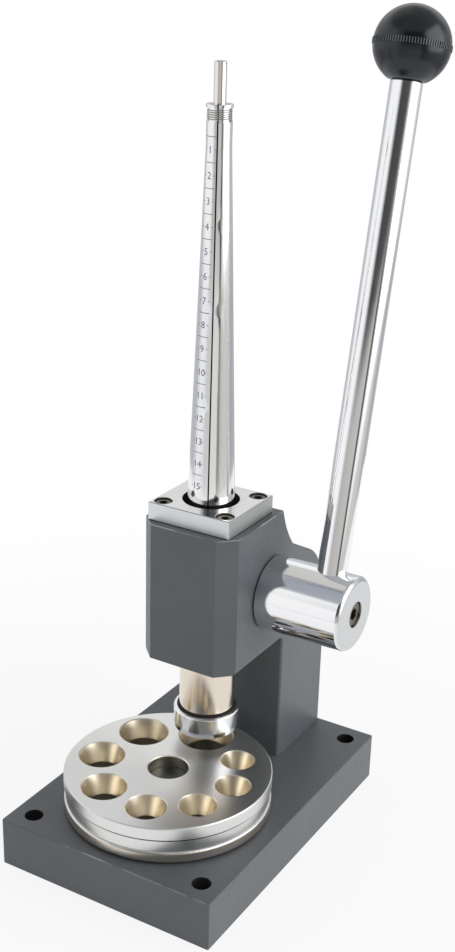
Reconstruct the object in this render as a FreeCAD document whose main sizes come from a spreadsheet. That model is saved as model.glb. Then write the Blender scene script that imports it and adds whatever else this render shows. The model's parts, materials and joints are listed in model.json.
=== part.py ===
import FreeCAD, Part
import math
import os

import Sketcher

# Ring stretcher with a reducing die plate, in millimetres. +Z is up, +X is the lever's side and
# -Y the front. The origin is the centre of the four bench bolt holes on the base's underside.

doc = FreeCAD.newDocument("ring_stretcher")
sheet = doc.addObject("Spreadsheet::Sheet", "Sizes")

SIZES = [
    # Base plate
    ("base_width", 128.0),
    ("base_length", 182.0),
    ("base_thickness", 27.0),
    ("base_corner", 0.9),
    ("base_edge", 0.6),
    ("bench_hole_radius", 5.0),
    ("bench_hole_side_inset", 11.9),
    ("bench_hole_end_inset", 12.0),
    # Places of the ram, the pinion shaft and the die plate
    ("ram_axis_y", 8.0),
    ("shaft_behind_ram", 17.4),
    ("shaft_height", 137.8),
    ("die_pitch_radius", 37.8),
    ("pressing_gap", 7.6),
    # Frame casting: head block and column. Its back is measured from the ram's axis and down from
    # the head's top.
    ("head_width", 56.2),
    ("head_reach", 26.7),
    ("head_corner_cut", 8.5),
    ("head_above_shaft", 42.7),
    ("head_below_shaft", 34.4),
    ("head_back", 28.6),
    ("column_front", 32.2),
    ("neck_back", 41.5),
    ("neck_drop", 23.9),
    ("neck_curve_radius", 62.0),
    ("shoulder_inset", 21.0),
    ("shoulder_drop", 34.9),
    ("shoulder_curve_radius", 27.0),
    ("rear_top_inset", 7.6),
    ("rear_top_drop", 50.5),
    ("rear_slope_drop", 88.5),
    ("throat_radius", 3.0),
    ("casting_edge", 1.6),
    ("frame_bolt_side", 15.0),
    ("frame_bolt_front_inset", 11.8),
    ("frame_bolt_back_inset", 12.0),
    ("frame_bolt_grip", 15.0),
    # Screws: radius of the shank, then head radius, head height and half the key's width
    ("bolt_radius", 4.0),
    ("bolt_head_radius", 6.5),
    ("bolt_head_height", 8.0),
    ("bolt_key", 3.0),
    ("bolt_recess", 1.0),
    ("bolt_head_clearance", 0.5),
    ("plate_screw_radius", 2.5),
    ("plate_screw_head_radius", 4.25),
    ("plate_screw_head_height", 5.0),
    ("plate_screw_key", 2.0),
    ("plate_screw_recess", 0.9),
    ("plate_screw_clearance", 0.4),
    ("plate_screw_grip", 12.0),
    # Top plate
    ("plate_width", 48.4),
    ("plate_depth", 44.0),
    ("plate_thickness", 9.9),
    ("plate_hole_radius", 15.0),
    ("plate_mouth", 0.3),
    ("plate_chamfer", 0.4),
    ("plate_screw_side", 18.5),
    ("plate_screw_end", 16.6),
    # Ram, rack and bushes
    ("ram_radius", 15.0),
    ("ram_stop_gap", 0.3),
    ("ram_chamfer", 0.8),
    ("ledge_thickness", 3.5),
    ("ledge_hole_radius", 13.0),
    ("foot_pocket_depth", 6.0),
    ("foot_pocket_radius", 19.2),
    ("bush_wall", 2.5),
    ("running_clearance", 0.05),
    ("lower_bush_length", 15.0),
    ("upper_bush_length", 13.5),
    ("gear_module", 1.5),
    ("pinion_teeth", 12.0),
    ("pressure_angle", 20.0),
    ("rack_addendum", 1.0),
    ("rack_root_clearance", 0.35),
    ("tooth_backlash", 0.16),
    ("rack_gaps", 6.0),
    ("rack_gaps_below", 2.0),
    ("rack_notch_bottom", 11.6),
    ("rack_notch_top", 18.6),
    # Pinion shaft: axis along X
    ("journal_radius", 10.5),
    ("small_journal_radius", 8.0),
    ("shaft_bush_wall", 2.5),
    ("shaft_bush_length", 8.5),
    ("shaft_stub_end", 50.0),
    ("shaft_key_width", 5.0),
    ("shaft_key_depth", 2.5),
    ("shaft_key_length", 16.0),
    ("shaft_washer_radius", 13.5),
    ("shaft_washer_thickness", 1.5),
    ("shaft_end_gap", 0.3),
    ("retainer_thickness", 1.2),
    ("retainer_groove_depth", 0.9),
    ("retainer_radius", 10.4),
    ("retainer_mouth", 6.0),
    ("shaft_tail", 2.0),
    # Hub
    ("hub_radius", 20.1),
    ("hub_end", 77.8),
    ("hub_edge_depth", 2.3),
    ("hub_edge_reach", 3.6),
    ("hub_edge_round", 3.2),
    ("hub_inner_chamfer", 0.6),
    ("hub_counterbore_depth", 9.2),
    ("hub_screw_grip", 16.0),
    # Lever, ball knob and insert
    ("lever_place", 61.3),
    ("lever_tilt", 11.9),
    ("lever_radius", 8.0),
    ("lever_foot", 8.0),
    ("lever_chamfer", 0.8),
    ("ball_distance", 282.4),
    ("ball_radius", 19.1),
    ("ball_band_radius", 19.5),
    ("ball_band_width", 3.0),
    ("ball_flat_radius", 9.4),
    ("insert_radius", 6.2),
    ("insert_length", 18.0),
    ("spigot_length", 14.0),
    ("spigot_radius", 4.0),
    # Pusher cup and its rubber ring
    ("cup_radius", 18.0),
    ("cup_height", 13.0),
    ("cup_floor", 3.6),
    ("cup_wall", 1.7),
    ("cup_rim_round", 1.1),
    ("cup_foot_chamfer", 1.8),
    ("cup_ring_section", 1.1),
    ("cup_ring_height", 9.3),
    # Die plate and its pivot
    ("die_radius", 55.5),
    ("die_thickness", 20.5),
    ("die_upper_band", 6.7),
    ("die_waist_height", 7.4),
    ("die_waist_depth", 0.9),
    ("die_groove_width", 1.25),
    ("die_groove_depth", 0.8),
    ("die_band_round", 1.2),
    ("die_edge_chamfer", 0.5),
    ("die_web", 5.75),
    ("die_cone_depth", 10.2),
    ("die_cone_inset", 3.65),
    ("die_land", 0.8),
    ("die_mouth", 0.3),
    ("die_relief", 1.3),
    ("die_bore_radius", 10.8),
    ("die_washer_thickness", 1.0),
    ("die_washer_radius", 20.0),
    ("pivot_clearance", 0.06),
    ("pivot_top_depth", 6.6),
    ("pivot_spigot_radius", 8.0),
    ("pivot_spigot_length", 5.0),
    ("pivot_chamfer", 0.6),
    ("pivot_screw_grip", 12.0),
    # Mandrel: four segments of a tapered sleeve, split by two crossing slits
    ("size_fifteen_rise", 10.4),
    ("size_scale_length", 166.9),
    ("mandrel_top_rise", 20.4),
    ("size_one_radius", 6.22),
    ("size_fifteen_radius", 11.91),
    ("mandrel_head_radius", 6.2),
    ("lip_radius", 6.5),
    ("lip_height", 1.6),
    ("lip_edge", 0.3),
    ("groove_height", 6.4),
    ("groove_depth", 0.75),
    ("slit_width", 0.6),
    ("slit_angle", 24.0),
    ("foot_radius", 17.5),
    ("foot_thickness", 5.7),
    ("foot_clearance", 0.1),
    ("foot_chamfer", 0.4),
    ("neck_radius", 12.5),
    ("foot_ring_section", 1.0),
    ("foot_ring_groove", 1.6),
    # Expander rod: a wedge cone near the top and another near the foot
    ("rod_rise", 19.1),
    ("rod_radius", 3.0),
    ("rod_chamfer", 0.4),
    ("wedge_slope", 0.1),
    ("wedge_length", 7.2),
    ("wedge_gap", 0.06),
    ("upper_wedge_drop", 9.4),
    ("lower_wedge_rise", 14.6),
    ("rod_body_radius", 5.15),
    ("rod_body_length", 17.0),
    ("rod_relief_length", 8.0),
    ("rod_thread_length", 14.0),
    ("lock_nut_height", 4.0),
    ("lock_nut_key", 6.5),
    ("nut_room_radius", 8.2),
    ("nut_room_height", 2.2),
    # Wire spring round the mandrel's top
    ("spring_wire_radius", 0.29),
    ("spring_pitch", 1.01),
    ("spring_turns", 5.5),
    ("spring_seat_gap", 0.05),
    # Cuts run this far past the faces that they open
    ("overrun", 1.0),
]

# Radii of the eight dies at the top face, the largest under the ram, going round from above
# anticlockwise.
DIE_RADII = [15.0, 13.7, 12.5, 12.1, 10.75, 9.9, 9.55, 9.1]

for row, (alias, size) in enumerate(SIZES, start=1):
    sheet.set(f"A{row}", alias)
    sheet.set(f"B{row}", str(size))
    sheet.setAlias(f"B{row}", alias)
for row, size in enumerate(DIE_RADII, start=len(SIZES) + 1):
    number = row - len(SIZES)
    sheet.set(f"A{row}", f"die_hole_{number}")
    sheet.set(f"B{row}", str(size))
    sheet.setAlias(f"B{row}", f"die_hole_{number}")
doc.recompute()

# Places worked out from the sizes, each used by more than one piece.
PLACES = {
    "head_top": "(shaft_height + head_above_shaft)",
    "head_bottom": "(shaft_height - head_below_shaft)",
    "plate_top": "(head_top + plate_thickness)",
    "column_rear": "(base_length / 2 - ram_axis_y)",
    "frame_bolt_front": "(column_front + frame_bolt_front_inset)",
    "frame_bolt_back": "(column_rear - frame_bolt_back_inset)",
    "die_axis_y": "(ram_axis_y - die_pitch_radius)",
    "die_bottom": "(base_thickness + die_washer_thickness)",
    "cup_bottom": "(die_bottom + die_thickness + pressing_gap)",
    "ram_bottom": "(cup_bottom + cup_floor)",
    "foot_floor": "(head_top - foot_pocket_depth)",
    "ledge_bottom": "(foot_floor - ledge_thickness)",
    "ram_top": "(ledge_bottom - ram_stop_gap)",
    "bush_outer": "(ram_radius + running_clearance + bush_wall)",
    "shaft_bush_outer": "(journal_radius + running_clearance + shaft_bush_wall)",
    "pitch_radius": "(gear_module * pinion_teeth / 2)",
    "rack_pitch": "(pi * gear_module)",
    "rack_pitch_line": "(shaft_behind_ram - pitch_radius)",
    "rack_tip_line": "(rack_pitch_line + rack_addendum)",
    "rack_root_line": "(rack_pitch_line - gear_module - rack_root_clearance)",
    "size_fifteen_height": "(plate_top + size_fifteen_rise)",
    "size_one_height": "(size_fifteen_height + size_scale_length)",
    "size_slope": "((size_fifteen_radius - size_one_radius) / size_scale_length)",
    "mandrel_top": "(size_one_height + mandrel_top_rise)",
    "head_start": "(size_one_height + (size_one_radius - mandrel_head_radius) / size_slope)",
    "neck_start": "(size_fifteen_height - (neck_radius - size_fifteen_radius) / size_slope)",
    "groove_top": "(mandrel_top - lip_height)",
    "rod_top": "(mandrel_top + rod_rise)",
    "wedge_rise": "(wedge_slope * wedge_length)",
    "rod_neck": "(rod_radius - wedge_rise)",
    "rod_stem": "(rod_body_radius - wedge_rise)",
    "upper_wedge_top": "(mandrel_top - upper_wedge_drop)",
    "upper_wedge_bottom": "(upper_wedge_top - wedge_length)",
    "lower_wedge_top": "(plate_top + lower_wedge_rise)",
    "lower_wedge_bottom": "(lower_wedge_top - wedge_length)",
    "rod_body_top": "(lower_wedge_top + rod_body_length)",
    "relief_top": "(rod_body_top + rod_relief_length)",
}

ALIASES = [alias for alias, size in SIZES] + [f"die_hole_{n + 1}" for n in range(len(DIE_RADII))]
NODES = []
SIDES = (1, -1)


def respell(formula, spell):
    """a formula with each of its words put through a function"""
    words = []
    word = ""
    for letter in formula + " ":
        if letter.isalnum() or letter == "_":
            word += letter
            continue
        words.append(spell(word))
        words.append(letter)
        word = ""
    return "".join(words).strip()


def in_sizes(formula):
    """a formula with its places written out in sizes"""
    return respell(formula, lambda word: in_sizes(PLACES[word]) if word in PLACES else word)


def worth(formula):
    """the number that a formula stands for"""
    return float(sheet.evalExpression(in_sizes(formula)))


def bound(formula):
    """a formula in sizes, with each name pointing into the sheet"""
    return respell(in_sizes(formula), lambda word: f"Sizes.{word}" if word in ALIASES else word)


def place(thing, x="0", y="0", z="0", axis=None, angle="0"):
    """put an object where three formulas say, turned about an axis by a fourth"""
    if axis is not None:
        turned_so = FreeCAD.Rotation(FreeCAD.Vector(*axis), worth(angle))
        thing.Placement = FreeCAD.Placement(FreeCAD.Vector(), turned_so)
        thing.setExpression("Placement.Rotation.Angle", bound(angle))
    for letter, formula in zip("xyz", (x, y, z)):
        thing.setExpression(f"Placement.Base.{letter}", bound(formula))


def node(thing, label):
    thing.Label = label
    NODES.append(thing)
    return thing


def body(label):
    return node(doc.addObject("PartDesign::Body", label), label)


def plane(owner, role):
    return [part for part in owner.Origin.OriginFeatures if part.Role == role][0]


def sketch(owner, role, name, lift=None):
    """a sketch on one of the body's own origin planes, lifted off it by a formula"""
    drawing = owner.newObject("Sketcher::SketchObject", f"{owner.Label}_{name}")
    drawing.AttachmentSupport = [(plane(owner, role), "")]
    drawing.MapMode = "FlatFace"
    if lift is not None:
        drawing.setExpression("AttachmentOffset.Base.z", bound(lift))
    return drawing


def pin(drawing, kind, geometry, end, formula):
    """hold one coordinate of a point at a formula"""
    size = worth(formula)
    if formula.strip() == "0":
        line = -2 if kind == "DistanceX" else -1
        drawing.addConstraint(Sketcher.Constraint("PointOnObject", geometry, end, line))
        return
    index = drawing.addConstraint(Sketcher.Constraint(kind, -1, 1, geometry, end, size))
    drawing.setExpression(f"Constraints[{index}]", bound(formula))


def arc_middle(start, end, radius, side):
    """the middle point of the short arc from start to end, bulging to the given side"""
    chord = end - start
    half = chord.Length / 2
    rise = radius - math.sqrt(radius * radius - half * half)
    normal = FreeCAD.Vector(-chord.y, chord.x, 0).normalize()
    return (start + end) / 2 + normal * (rise * side)


def outline(drawing, corners):
    """a closed loop through corners (x, y); a corner (x, y, radius, side) ends an arc"""
    points = [FreeCAD.Vector(worth(corner[0]), worth(corner[1]), 0) for corner in corners]
    pieces = []
    for index, corner in enumerate(corners):
        start, end = points[index - 1], points[index]
        if len(corner) == 2:
            geometry = drawing.addGeometry(Part.LineSegment(start, end))
        else:
            middle = arc_middle(start, end, worth(corner[2]), corner[3])
            geometry = drawing.addGeometry(Part.Arc(start, middle, end))
        first = 1
        ends = [drawing.getPoint(geometry, end) for end in (1, 2)]
        if (ends[0] - start).Length > (ends[1] - start).Length:
            first = 2
        pieces.append((geometry, first, 3 - first))
    for index, corner in enumerate(corners):
        geometry, first, last = pieces[index]
        previous, unused, previous_last = pieces[index - 1]
        drawing.addConstraint(Sketcher.Constraint("Coincident", previous, previous_last,
                                                  geometry, first))
        pin(drawing, "DistanceX", geometry, last, corner[0])
        pin(drawing, "DistanceY", geometry, last, corner[1])
        if len(corner) == 4:
            mark = drawing.addConstraint(Sketcher.Constraint("Radius", geometry, worth(corner[2])))
            drawing.setExpression(f"Constraints[{mark}]", bound(corner[2]))
    return drawing


def circle(drawing, x, y, radius):
    centre = FreeCAD.Vector(worth(x), worth(y), 0)
    geometry = drawing.addGeometry(Part.Circle(centre, FreeCAD.Vector(0, 0, 1), worth(radius)))
    pin(drawing, "DistanceX", geometry, 3, x)
    pin(drawing, "DistanceY", geometry, 3, y)
    mark = drawing.addConstraint(Sketcher.Constraint("Radius", geometry, worth(radius)))
    drawing.setExpression(f"Constraints[{mark}]", bound(radius))
    return drawing


def rectangle(drawing, left, bottom, right, top):
    return outline(drawing, [(left, bottom), (right, bottom), (right, top), (left, top)])


def feature(owner, kind, drawing, name, length=None, middle=False, backwards=False, taper=None):
    made = owner.newObject(f"PartDesign::{kind}", f"{owner.Label}_{name}")
    made.Profile = drawing
    if kind in ("Revolution", "Groove"):
        return made
    if length is None:
        made.Type = "ThroughAll"
    else:
        made.setExpression("Length", bound(length))
    made.Midplane = middle
    made.Reversed = backwards
    if taper is not None:
        made.setExpression("TaperAngle", bound(taper))
    return made


def spun(owner, kind, drawing, name, axis="V_Axis"):
    made = feature(owner, kind, drawing, name)
    made.ReferenceAxis = (drawing, [axis])
    made.Angle = 360
    return made


def turned(label, corners):
    """a turned piece about the body's own Z axis from its half outline (radius, height)"""
    owner = body(label)
    spun(owner, "Revolution", outline(sketch(owner, "XZ_Plane", "outline"), corners), "turning")
    return owner


def turned_along_x(label, corners):
    """a turned piece about the body's own X axis from its half outline (place, radius)"""
    owner = body(label)
    drawing = outline(sketch(owner, "XZ_Plane", "outline"), corners)
    spun(owner, "Revolution", drawing, "turning", "H_Axis")
    return owner


def cut(owner, drawing, name, length=None, middle=False, backwards=False, taper=None):
    """a pocket that has to take material away, or the size table no longer makes sense"""
    doc.recompute()
    before = owner.Shape.Volume
    made = feature(owner, "Pocket", drawing, name, length, middle, backwards, taper)
    doc.recompute()
    if owner.Shape.Volume >= before:
        raise ValueError(f"{made.Name} cuts nothing")
    return made


def edges_where(shape, wanted):
    return [f"Edge{index}" for index, edge in enumerate(shape.Edges, start=1) if wanted(edge)]


def dress(owner, kind, name, size, wanted):
    """round or bevel the edges of the body's last feature that a test picks"""
    doc.recompute()
    base = owner.Tip
    names = edges_where(base.Shape, wanted)
    made = owner.newObject(f"PartDesign::{kind}", f"{owner.Label}_{name}")
    made.Base = (base, names)
    made.setExpression("Radius" if kind == "Fillet" else "Size", bound(size))
    return made


def upright(edge):
    ends = [vertex.Point for vertex in edge.Vertexes]
    return len(ends) == 2 and math.hypot(ends[0].x - ends[1].x, ends[0].y - ends[1].y) < NEAR


def near(number, formula):
    return abs(number - worth(formula)) < NEAR


# How close two places count as the same when edges are picked, as a share of the base's thickness.
NEAR = worth("base_thickness") * 1e-4



# Base plate: thick slab with softened edges, four bench holes, counterbored holes from below for
# the frame bolts and the pivot's screw, and the pivot's seat.
def make_base_plate():
    owner = body("base_plate")
    drawing = rectangle(sketch(owner, "XY_Plane", "outline"), "-base_width / 2", "-base_length / 2",
                        "base_width / 2", "base_length / 2")
    feature(owner, "Pad", drawing, "slab", "base_thickness")
    dress(owner, "Fillet", "corners", "base_corner", upright)
    dress(owner, "Fillet", "edges", "base_edge", lambda edge: all(
        near(vertex.Point.z, "base_thickness") for vertex in edge.Vertexes))
    holes = sketch(owner, "XY_Plane", "bench_holes")
    for x_side in SIDES:
        for y_side in SIDES:
            circle(holes, f"{x_side} * (base_width / 2 - bench_hole_side_inset)",
                   f"{y_side} * (base_length / 2 - bench_hole_end_inset)", "bench_hole_radius")
    cut(owner, holes, "bench_drilling", backwards=True)
    bolts = sketch(owner, "XY_Plane", "bolt_holes")
    heads = sketch(owner, "XY_Plane", "bolt_heads")
    for x_side in SIDES:
        for row in ("frame_bolt_front", "frame_bolt_back"):
            circle(bolts, f"{x_side} * frame_bolt_side", f"ram_axis_y + {row}", "bolt_radius")
            circle(heads, f"{x_side} * frame_bolt_side", f"ram_axis_y + {row}",
                   "bolt_head_radius + bolt_head_clearance")
    circle(bolts, "0", "die_axis_y", "bolt_radius")
    circle(heads, "0", "die_axis_y", "bolt_head_radius + bolt_head_clearance")
    cut(owner, bolts, "bolt_drilling", backwards=True)
    cut(owner, heads, "bolt_counterbore", "bolt_head_height + bolt_recess", backwards=True)
    seat = circle(sketch(owner, "XY_Plane", "pivot_seat", "base_thickness"),
                  "0", "die_axis_y", "pivot_spigot_radius")
    cut(owner, seat, "pivot_seat_boring", "pivot_spigot_length")


# Frame casting: head block with bevelled front corners, a curved back down to the sloping shoulder
# of the column, and the bores for ram, shaft, screws and bolts. Its own origin is the ram's axis.
def make_frame_casting():
    owner = body("frame_casting")
    profile = [
        ("-head_reach", "head_bottom"),
        ("-head_reach", "head_top"),
        ("head_back", "head_top"),
        ("neck_back", "head_top - neck_drop", "neck_curve_radius", -1),
        ("column_rear - shoulder_inset", "head_top - shoulder_drop"),
        ("column_rear - rear_top_inset", "head_top - rear_top_drop", "shoulder_curve_radius", 1),
        ("column_rear", "head_top - rear_slope_drop"),
        ("column_rear", "base_thickness"),
        ("column_front", "base_thickness"),
        ("column_front", "head_bottom"),
    ]
    drawing = outline(sketch(owner, "YZ_Plane", "side_view"), profile)
    feature(owner, "Pad", drawing, "block", "head_width", middle=True)
    corners = sketch(owner, "XY_Plane", "front_corners", "head_bottom")
    for side in SIDES:
        outline(corners, [
            (f"{side} * (head_width / 2 - head_corner_cut)", "-head_reach - overrun"),
            (f"{side} * (head_width / 2 + overrun)", "-head_reach - overrun"),
            (f"{side} * (head_width / 2 + overrun)", "-head_reach + head_corner_cut + overrun"),
            (f"{side} * (head_width / 2)", "-head_reach + head_corner_cut"),
            (f"{side} * (head_width / 2 - head_corner_cut)", "-head_reach"),
        ])
    cut(owner, corners, "corner_bevels", backwards=True)
    dress(owner, "Fillet", "throat", "throat_radius", lambda edge: all(
        near(vertex.Point.z, "head_bottom") and near(vertex.Point.y, "column_front")
        for vertex in edge.Vertexes))
    dress(owner, "Fillet", "soft_edges", "casting_edge", lambda edge: casting_edge_is_soft(edge))
    ram_bore = outline(sketch(owner, "XZ_Plane", "ram_bore"), [
        ("0", "head_bottom - overrun"),
        ("bush_outer", "head_bottom - overrun"),
        ("bush_outer", "ledge_bottom"),
        ("ledge_hole_radius", "ledge_bottom"),
        ("ledge_hole_radius", "foot_floor"),
        ("foot_pocket_radius", "foot_floor"),
        ("foot_pocket_radius", "head_top + overrun"),
        ("0", "head_top + overrun"),
    ])
    doc.recompute()
    before = owner.Shape.Volume
    spun(owner, "Groove", ram_bore, "ram_boring")
    doc.recompute()
    if owner.Shape.Volume >= before:
        raise ValueError("the ram's bore cuts nothing")
    shaft_bore = circle(sketch(owner, "YZ_Plane", "shaft_bore"),
                        "shaft_behind_ram", "shaft_height", "shaft_bush_outer")
    cut(owner, shaft_bore, "shaft_boring", middle=True)
    taps = sketch(owner, "XY_Plane", "plate_taps", "head_top")
    for x_side in SIDES:
        for y_side in SIDES:
            circle(taps, f"{x_side} * plate_screw_side", f"{y_side} * plate_screw_end",
                   "plate_screw_radius")
    cut(owner, taps, "plate_tapping", "plate_screw_grip + overrun")
    feet = sketch(owner, "XY_Plane", "bolt_taps", "base_thickness")
    for x_side in SIDES:
        for row in ("frame_bolt_front", "frame_bolt_back"):
            circle(feet, f"{x_side} * frame_bolt_side", row, "bolt_radius")
    cut(owner, feet, "bolt_tapping", "frame_bolt_grip + overrun", backwards=True)
    place(owner, y="ram_axis_y")


def casting_edge_is_soft(edge):
    """the long outer edges of the side faces behind the head, and the column's upright edges"""
    ends = [vertex.Point for vertex in edge.Vertexes]
    if len(ends) != 2:
        return False
    on_side = all(near(abs(end.x), "head_width / 2") for end in ends)
    if not on_side:
        return False
    behind = all(end.y > worth("head_back") - NEAR for end in ends)
    at_foot = all(near(end.z, "base_thickness") for end in ends)
    in_front = all(near(end.y, "column_front") for end in ends)
    return behind and not at_foot and not in_front


def screw(name, radius, length, head_radius, head_height, key):
    """a socket head screw standing on its shank's end, head up, with a hexagon socket"""
    shank = doc.addObject("Part::Cylinder", f"{name}_shank")
    shank.setExpression("Radius", bound(radius))
    shank.setExpression("Height", bound(length))
    head = doc.addObject("Part::Cylinder", f"{name}_head")
    head.setExpression("Radius", bound(head_radius))
    head.setExpression("Height", bound(head_height))
    place(head, z=length)
    blank = doc.addObject("Part::Fuse", f"{name}_blank")
    blank.Base = shank
    blank.Tool = head
    socket = doc.addObject("Part::Prism", f"{name}_socket")
    socket.Polygon = 6
    socket.setExpression("Circumradius", bound(f"({key}) / cos(30)"))
    socket.setExpression("Height", bound(head_height))
    place(socket, z=f"{length} + {head_height} / 2")
    made = doc.addObject("Part::Cut", name)
    made.Base = blank
    made.Tool = socket
    return made


def make_screw_group(label, screws):
    group = doc.addObject("Part::Compound", f"{label}_group")
    group.Links = screws
    node(group, label)


def bolt(name, length):
    return screw(name, "bolt_radius", length, "bolt_head_radius", "bolt_head_height", "bolt_key")


# Four bolts that hold the casting to the base, heads down in the base's counterbores.
def make_frame_bolts():
    screws = []
    length = "(base_thickness - bolt_recess - bolt_head_height + frame_bolt_grip)"
    for x_side in SIDES:
        for row in ("frame_bolt_front", "frame_bolt_back"):
            made = bolt(f"frame_bolt_{len(screws) + 1}", length)
            place(made, f"{x_side} * frame_bolt_side", f"ram_axis_y + {row}",
                  f"bolt_recess + bolt_head_height + {length}", (1, 0, 0), "180")
            screws.append(made)
    make_screw_group("frame_bolts", screws)


# Top plate: square of polished steel that holds the mandrel's feet down, with counterbored screws.
def make_top_plate():
    owner = body("top_plate")
    drawing = rectangle(sketch(owner, "XY_Plane", "outline"), "-plate_width / 2", "-plate_depth / 2",
                        "plate_width / 2", "plate_depth / 2")
    feature(owner, "Pad", drawing, "slab", "plate_thickness")
    dress(owner, "Chamfer", "top_edges", "plate_chamfer", lambda edge: all(
        near(vertex.Point.z, "plate_thickness") for vertex in edge.Vertexes))
    hole = circle(sketch(owner, "XY_Plane", "hole"), "0", "0", "plate_hole_radius")
    cut(owner, hole, "mandrel_hole", backwards=True)
    shanks = sketch(owner, "XY_Plane", "screw_holes")
    heads = sketch(owner, "XY_Plane", "screw_heads", "plate_thickness")
    for x_side in SIDES:
        for y_side in SIDES:
            spot = (f"{x_side} * plate_screw_side", f"{y_side} * plate_screw_end")
            circle(shanks, *spot, "plate_screw_radius")
            circle(heads, *spot, "plate_screw_head_radius + plate_screw_clearance")
    cut(owner, shanks, "screw_drilling", backwards=True)
    cut(owner, heads, "screw_counterbore", "plate_screw_head_height + plate_screw_recess")
    mouths = sketch(owner, "XY_Plane", "screw_mouths", "plate_thickness")
    for x_side in SIDES:
        for y_side in SIDES:
            circle(mouths, f"{x_side} * plate_screw_side", f"{y_side} * plate_screw_end",
                   "plate_screw_head_radius + plate_screw_clearance + plate_mouth")
    cut(owner, mouths, "screw_mouth_breaking", "plate_mouth", taper="-45")
    place(owner, y="ram_axis_y", z="head_top")


def make_plate_screws():
    screws = []
    length = "(plate_thickness - plate_screw_recess - plate_screw_head_height + plate_screw_grip)"
    for x_side in SIDES:
        for y_side in SIDES:
            made = screw(f"plate_screw_{len(screws) + 1}", "plate_screw_radius", length,
                         "plate_screw_head_radius", "plate_screw_head_height", "plate_screw_key")
            place(made, f"{x_side} * plate_screw_side", f"ram_axis_y + {y_side} * plate_screw_end",
                  "head_top - plate_screw_grip")
            screws.append(made)
    make_screw_group("top_plate_screws", screws)


# Bronze guide bushes, pressed into the head above and below the pinion.
def make_ram_bushes():
    inner = "ram_radius + running_clearance"
    for label, bottom, length in (
            ("ram_bush_lower", "head_bottom", "lower_bush_length"),
            ("ram_bush_upper", "ledge_bottom - upper_bush_length", "upper_bush_length")):
        owner = turned(label, [(inner, "0"), ("bush_outer", "0"),
                               ("bush_outer", length), (inner, length)])
        place(owner, y="ram_axis_y", z=bottom)


# Bushes of the pinion shaft, one in each side of the head, the same outside.
def make_shaft_bushes():
    for label, journal, side in (("shaft_bush_right", "journal_radius", 1),
                                 ("shaft_bush_left", "small_journal_radius", -1)):
        inner = f"{journal} + running_clearance"
        start = f"{side} * (head_width / 2 - shaft_bush_length)"
        end = f"{side} * (head_width / 2)"
        owner = turned_along_x(label, [(start, inner), (start, "shaft_bush_outer"),
                                       (end, "shaft_bush_outer"), (end, inner)])
        place(owner, y="ram_axis_y + shaft_behind_ram", z="shaft_height")


# Ram: round bar with a rack cut in its back and a groove for the rubber ring near its foot.
def make_ram():
    ring_centre = "(ram_bottom + cup_ring_height)"
    owner = turned("ram", [
        ("0", "ram_bottom"),
        ("ram_radius - ram_chamfer", "ram_bottom"),
        ("ram_radius", "ram_bottom + ram_chamfer"),
        ("ram_radius", f"{ring_centre} - cup_ring_section"),
        ("cup_radius - cup_wall - 2 * cup_ring_section", f"{ring_centre} - cup_ring_section"),
        ("cup_radius - cup_wall - 2 * cup_ring_section", f"{ring_centre} + cup_ring_section"),
        ("ram_radius", f"{ring_centre} + cup_ring_section"),
        ("ram_radius", "ram_top - ram_chamfer"),
        ("ram_radius - ram_chamfer", "ram_top"),
        ("spigot_radius", "ram_top"),
        ("spigot_radius", "ram_top - rod_thread_length"),
        ("0", "ram_top - rod_thread_length"),
    ])
    notch = rectangle(sketch(owner, "YZ_Plane", "notch"), "rack_tip_line", "shaft_height - rack_notch_bottom",
                      "ram_radius + overrun", "shaft_height + rack_notch_top")
    cut(owner, notch, "rack_flat", middle=True)
    flank = "tan(pressure_angle)"
    half_gap = "((rack_pitch + tooth_backlash) / 4)"
    gap_foot = f"({half_gap} - (gear_module + rack_root_clearance) * {flank})"
    gap_mouth = f"({half_gap} + rack_addendum * {flank})"
    gap_over = f"({gap_mouth} + overrun * {flank})"
    first = "(shaft_height - rack_gaps_below * rack_pitch)"
    gap = outline(sketch(owner, "YZ_Plane", "tooth_gap"), [
        ("rack_root_line", f"{first} - {gap_foot}"),
        ("rack_tip_line + overrun", f"{first} - {gap_over}"),
        ("rack_tip_line + overrun", f"{first} + {gap_over}"),
        ("rack_root_line", f"{first} + {gap_foot}"),
    ])
    teeth = cut(owner, gap, "rack_tooth_gap", middle=True)
    pattern = owner.newObject("PartDesign::LinearPattern", "ram_rack")
    pattern.Originals = [teeth]
    pattern.Direction = (plane(owner, "Z_Axis"), [""])
    pattern.setExpression("Length", bound("(rack_gaps - 1) * rack_pitch"))
    pattern.Occurrences = int(worth("rack_gaps"))
    owner.Tip = pattern
    place(owner, y="ram_axis_y")


def flank_corner(radius, side):
    """a point of a tooth gap's flank at a radius, turned so that at rest a tooth faces the rack"""
    base = "(pitch_radius * cos(pressure_angle))"
    at_pitch = "(tan(pressure_angle) - pressure_angle * pi / 180)"
    reach = f"max({radius}; {base})"
    angle = f"acos({base} / {reach})"
    at_radius = f"(tan({angle}) - {angle} / 1 rad)"
    tooth = f"((rack_pitch / 2 - tooth_backlash / 2) / (2 * pitch_radius) + {at_pitch} - {at_radius})"
    gap = f"((pi / pinion_teeth - {tooth}) * 180 / pi)"
    angle = f"({side} * {gap} - (lever_tilt - 180 / pinion_teeth))"
    return (f"{radius} * sin({angle})", f"{radius} * cos({angle})")


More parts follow.
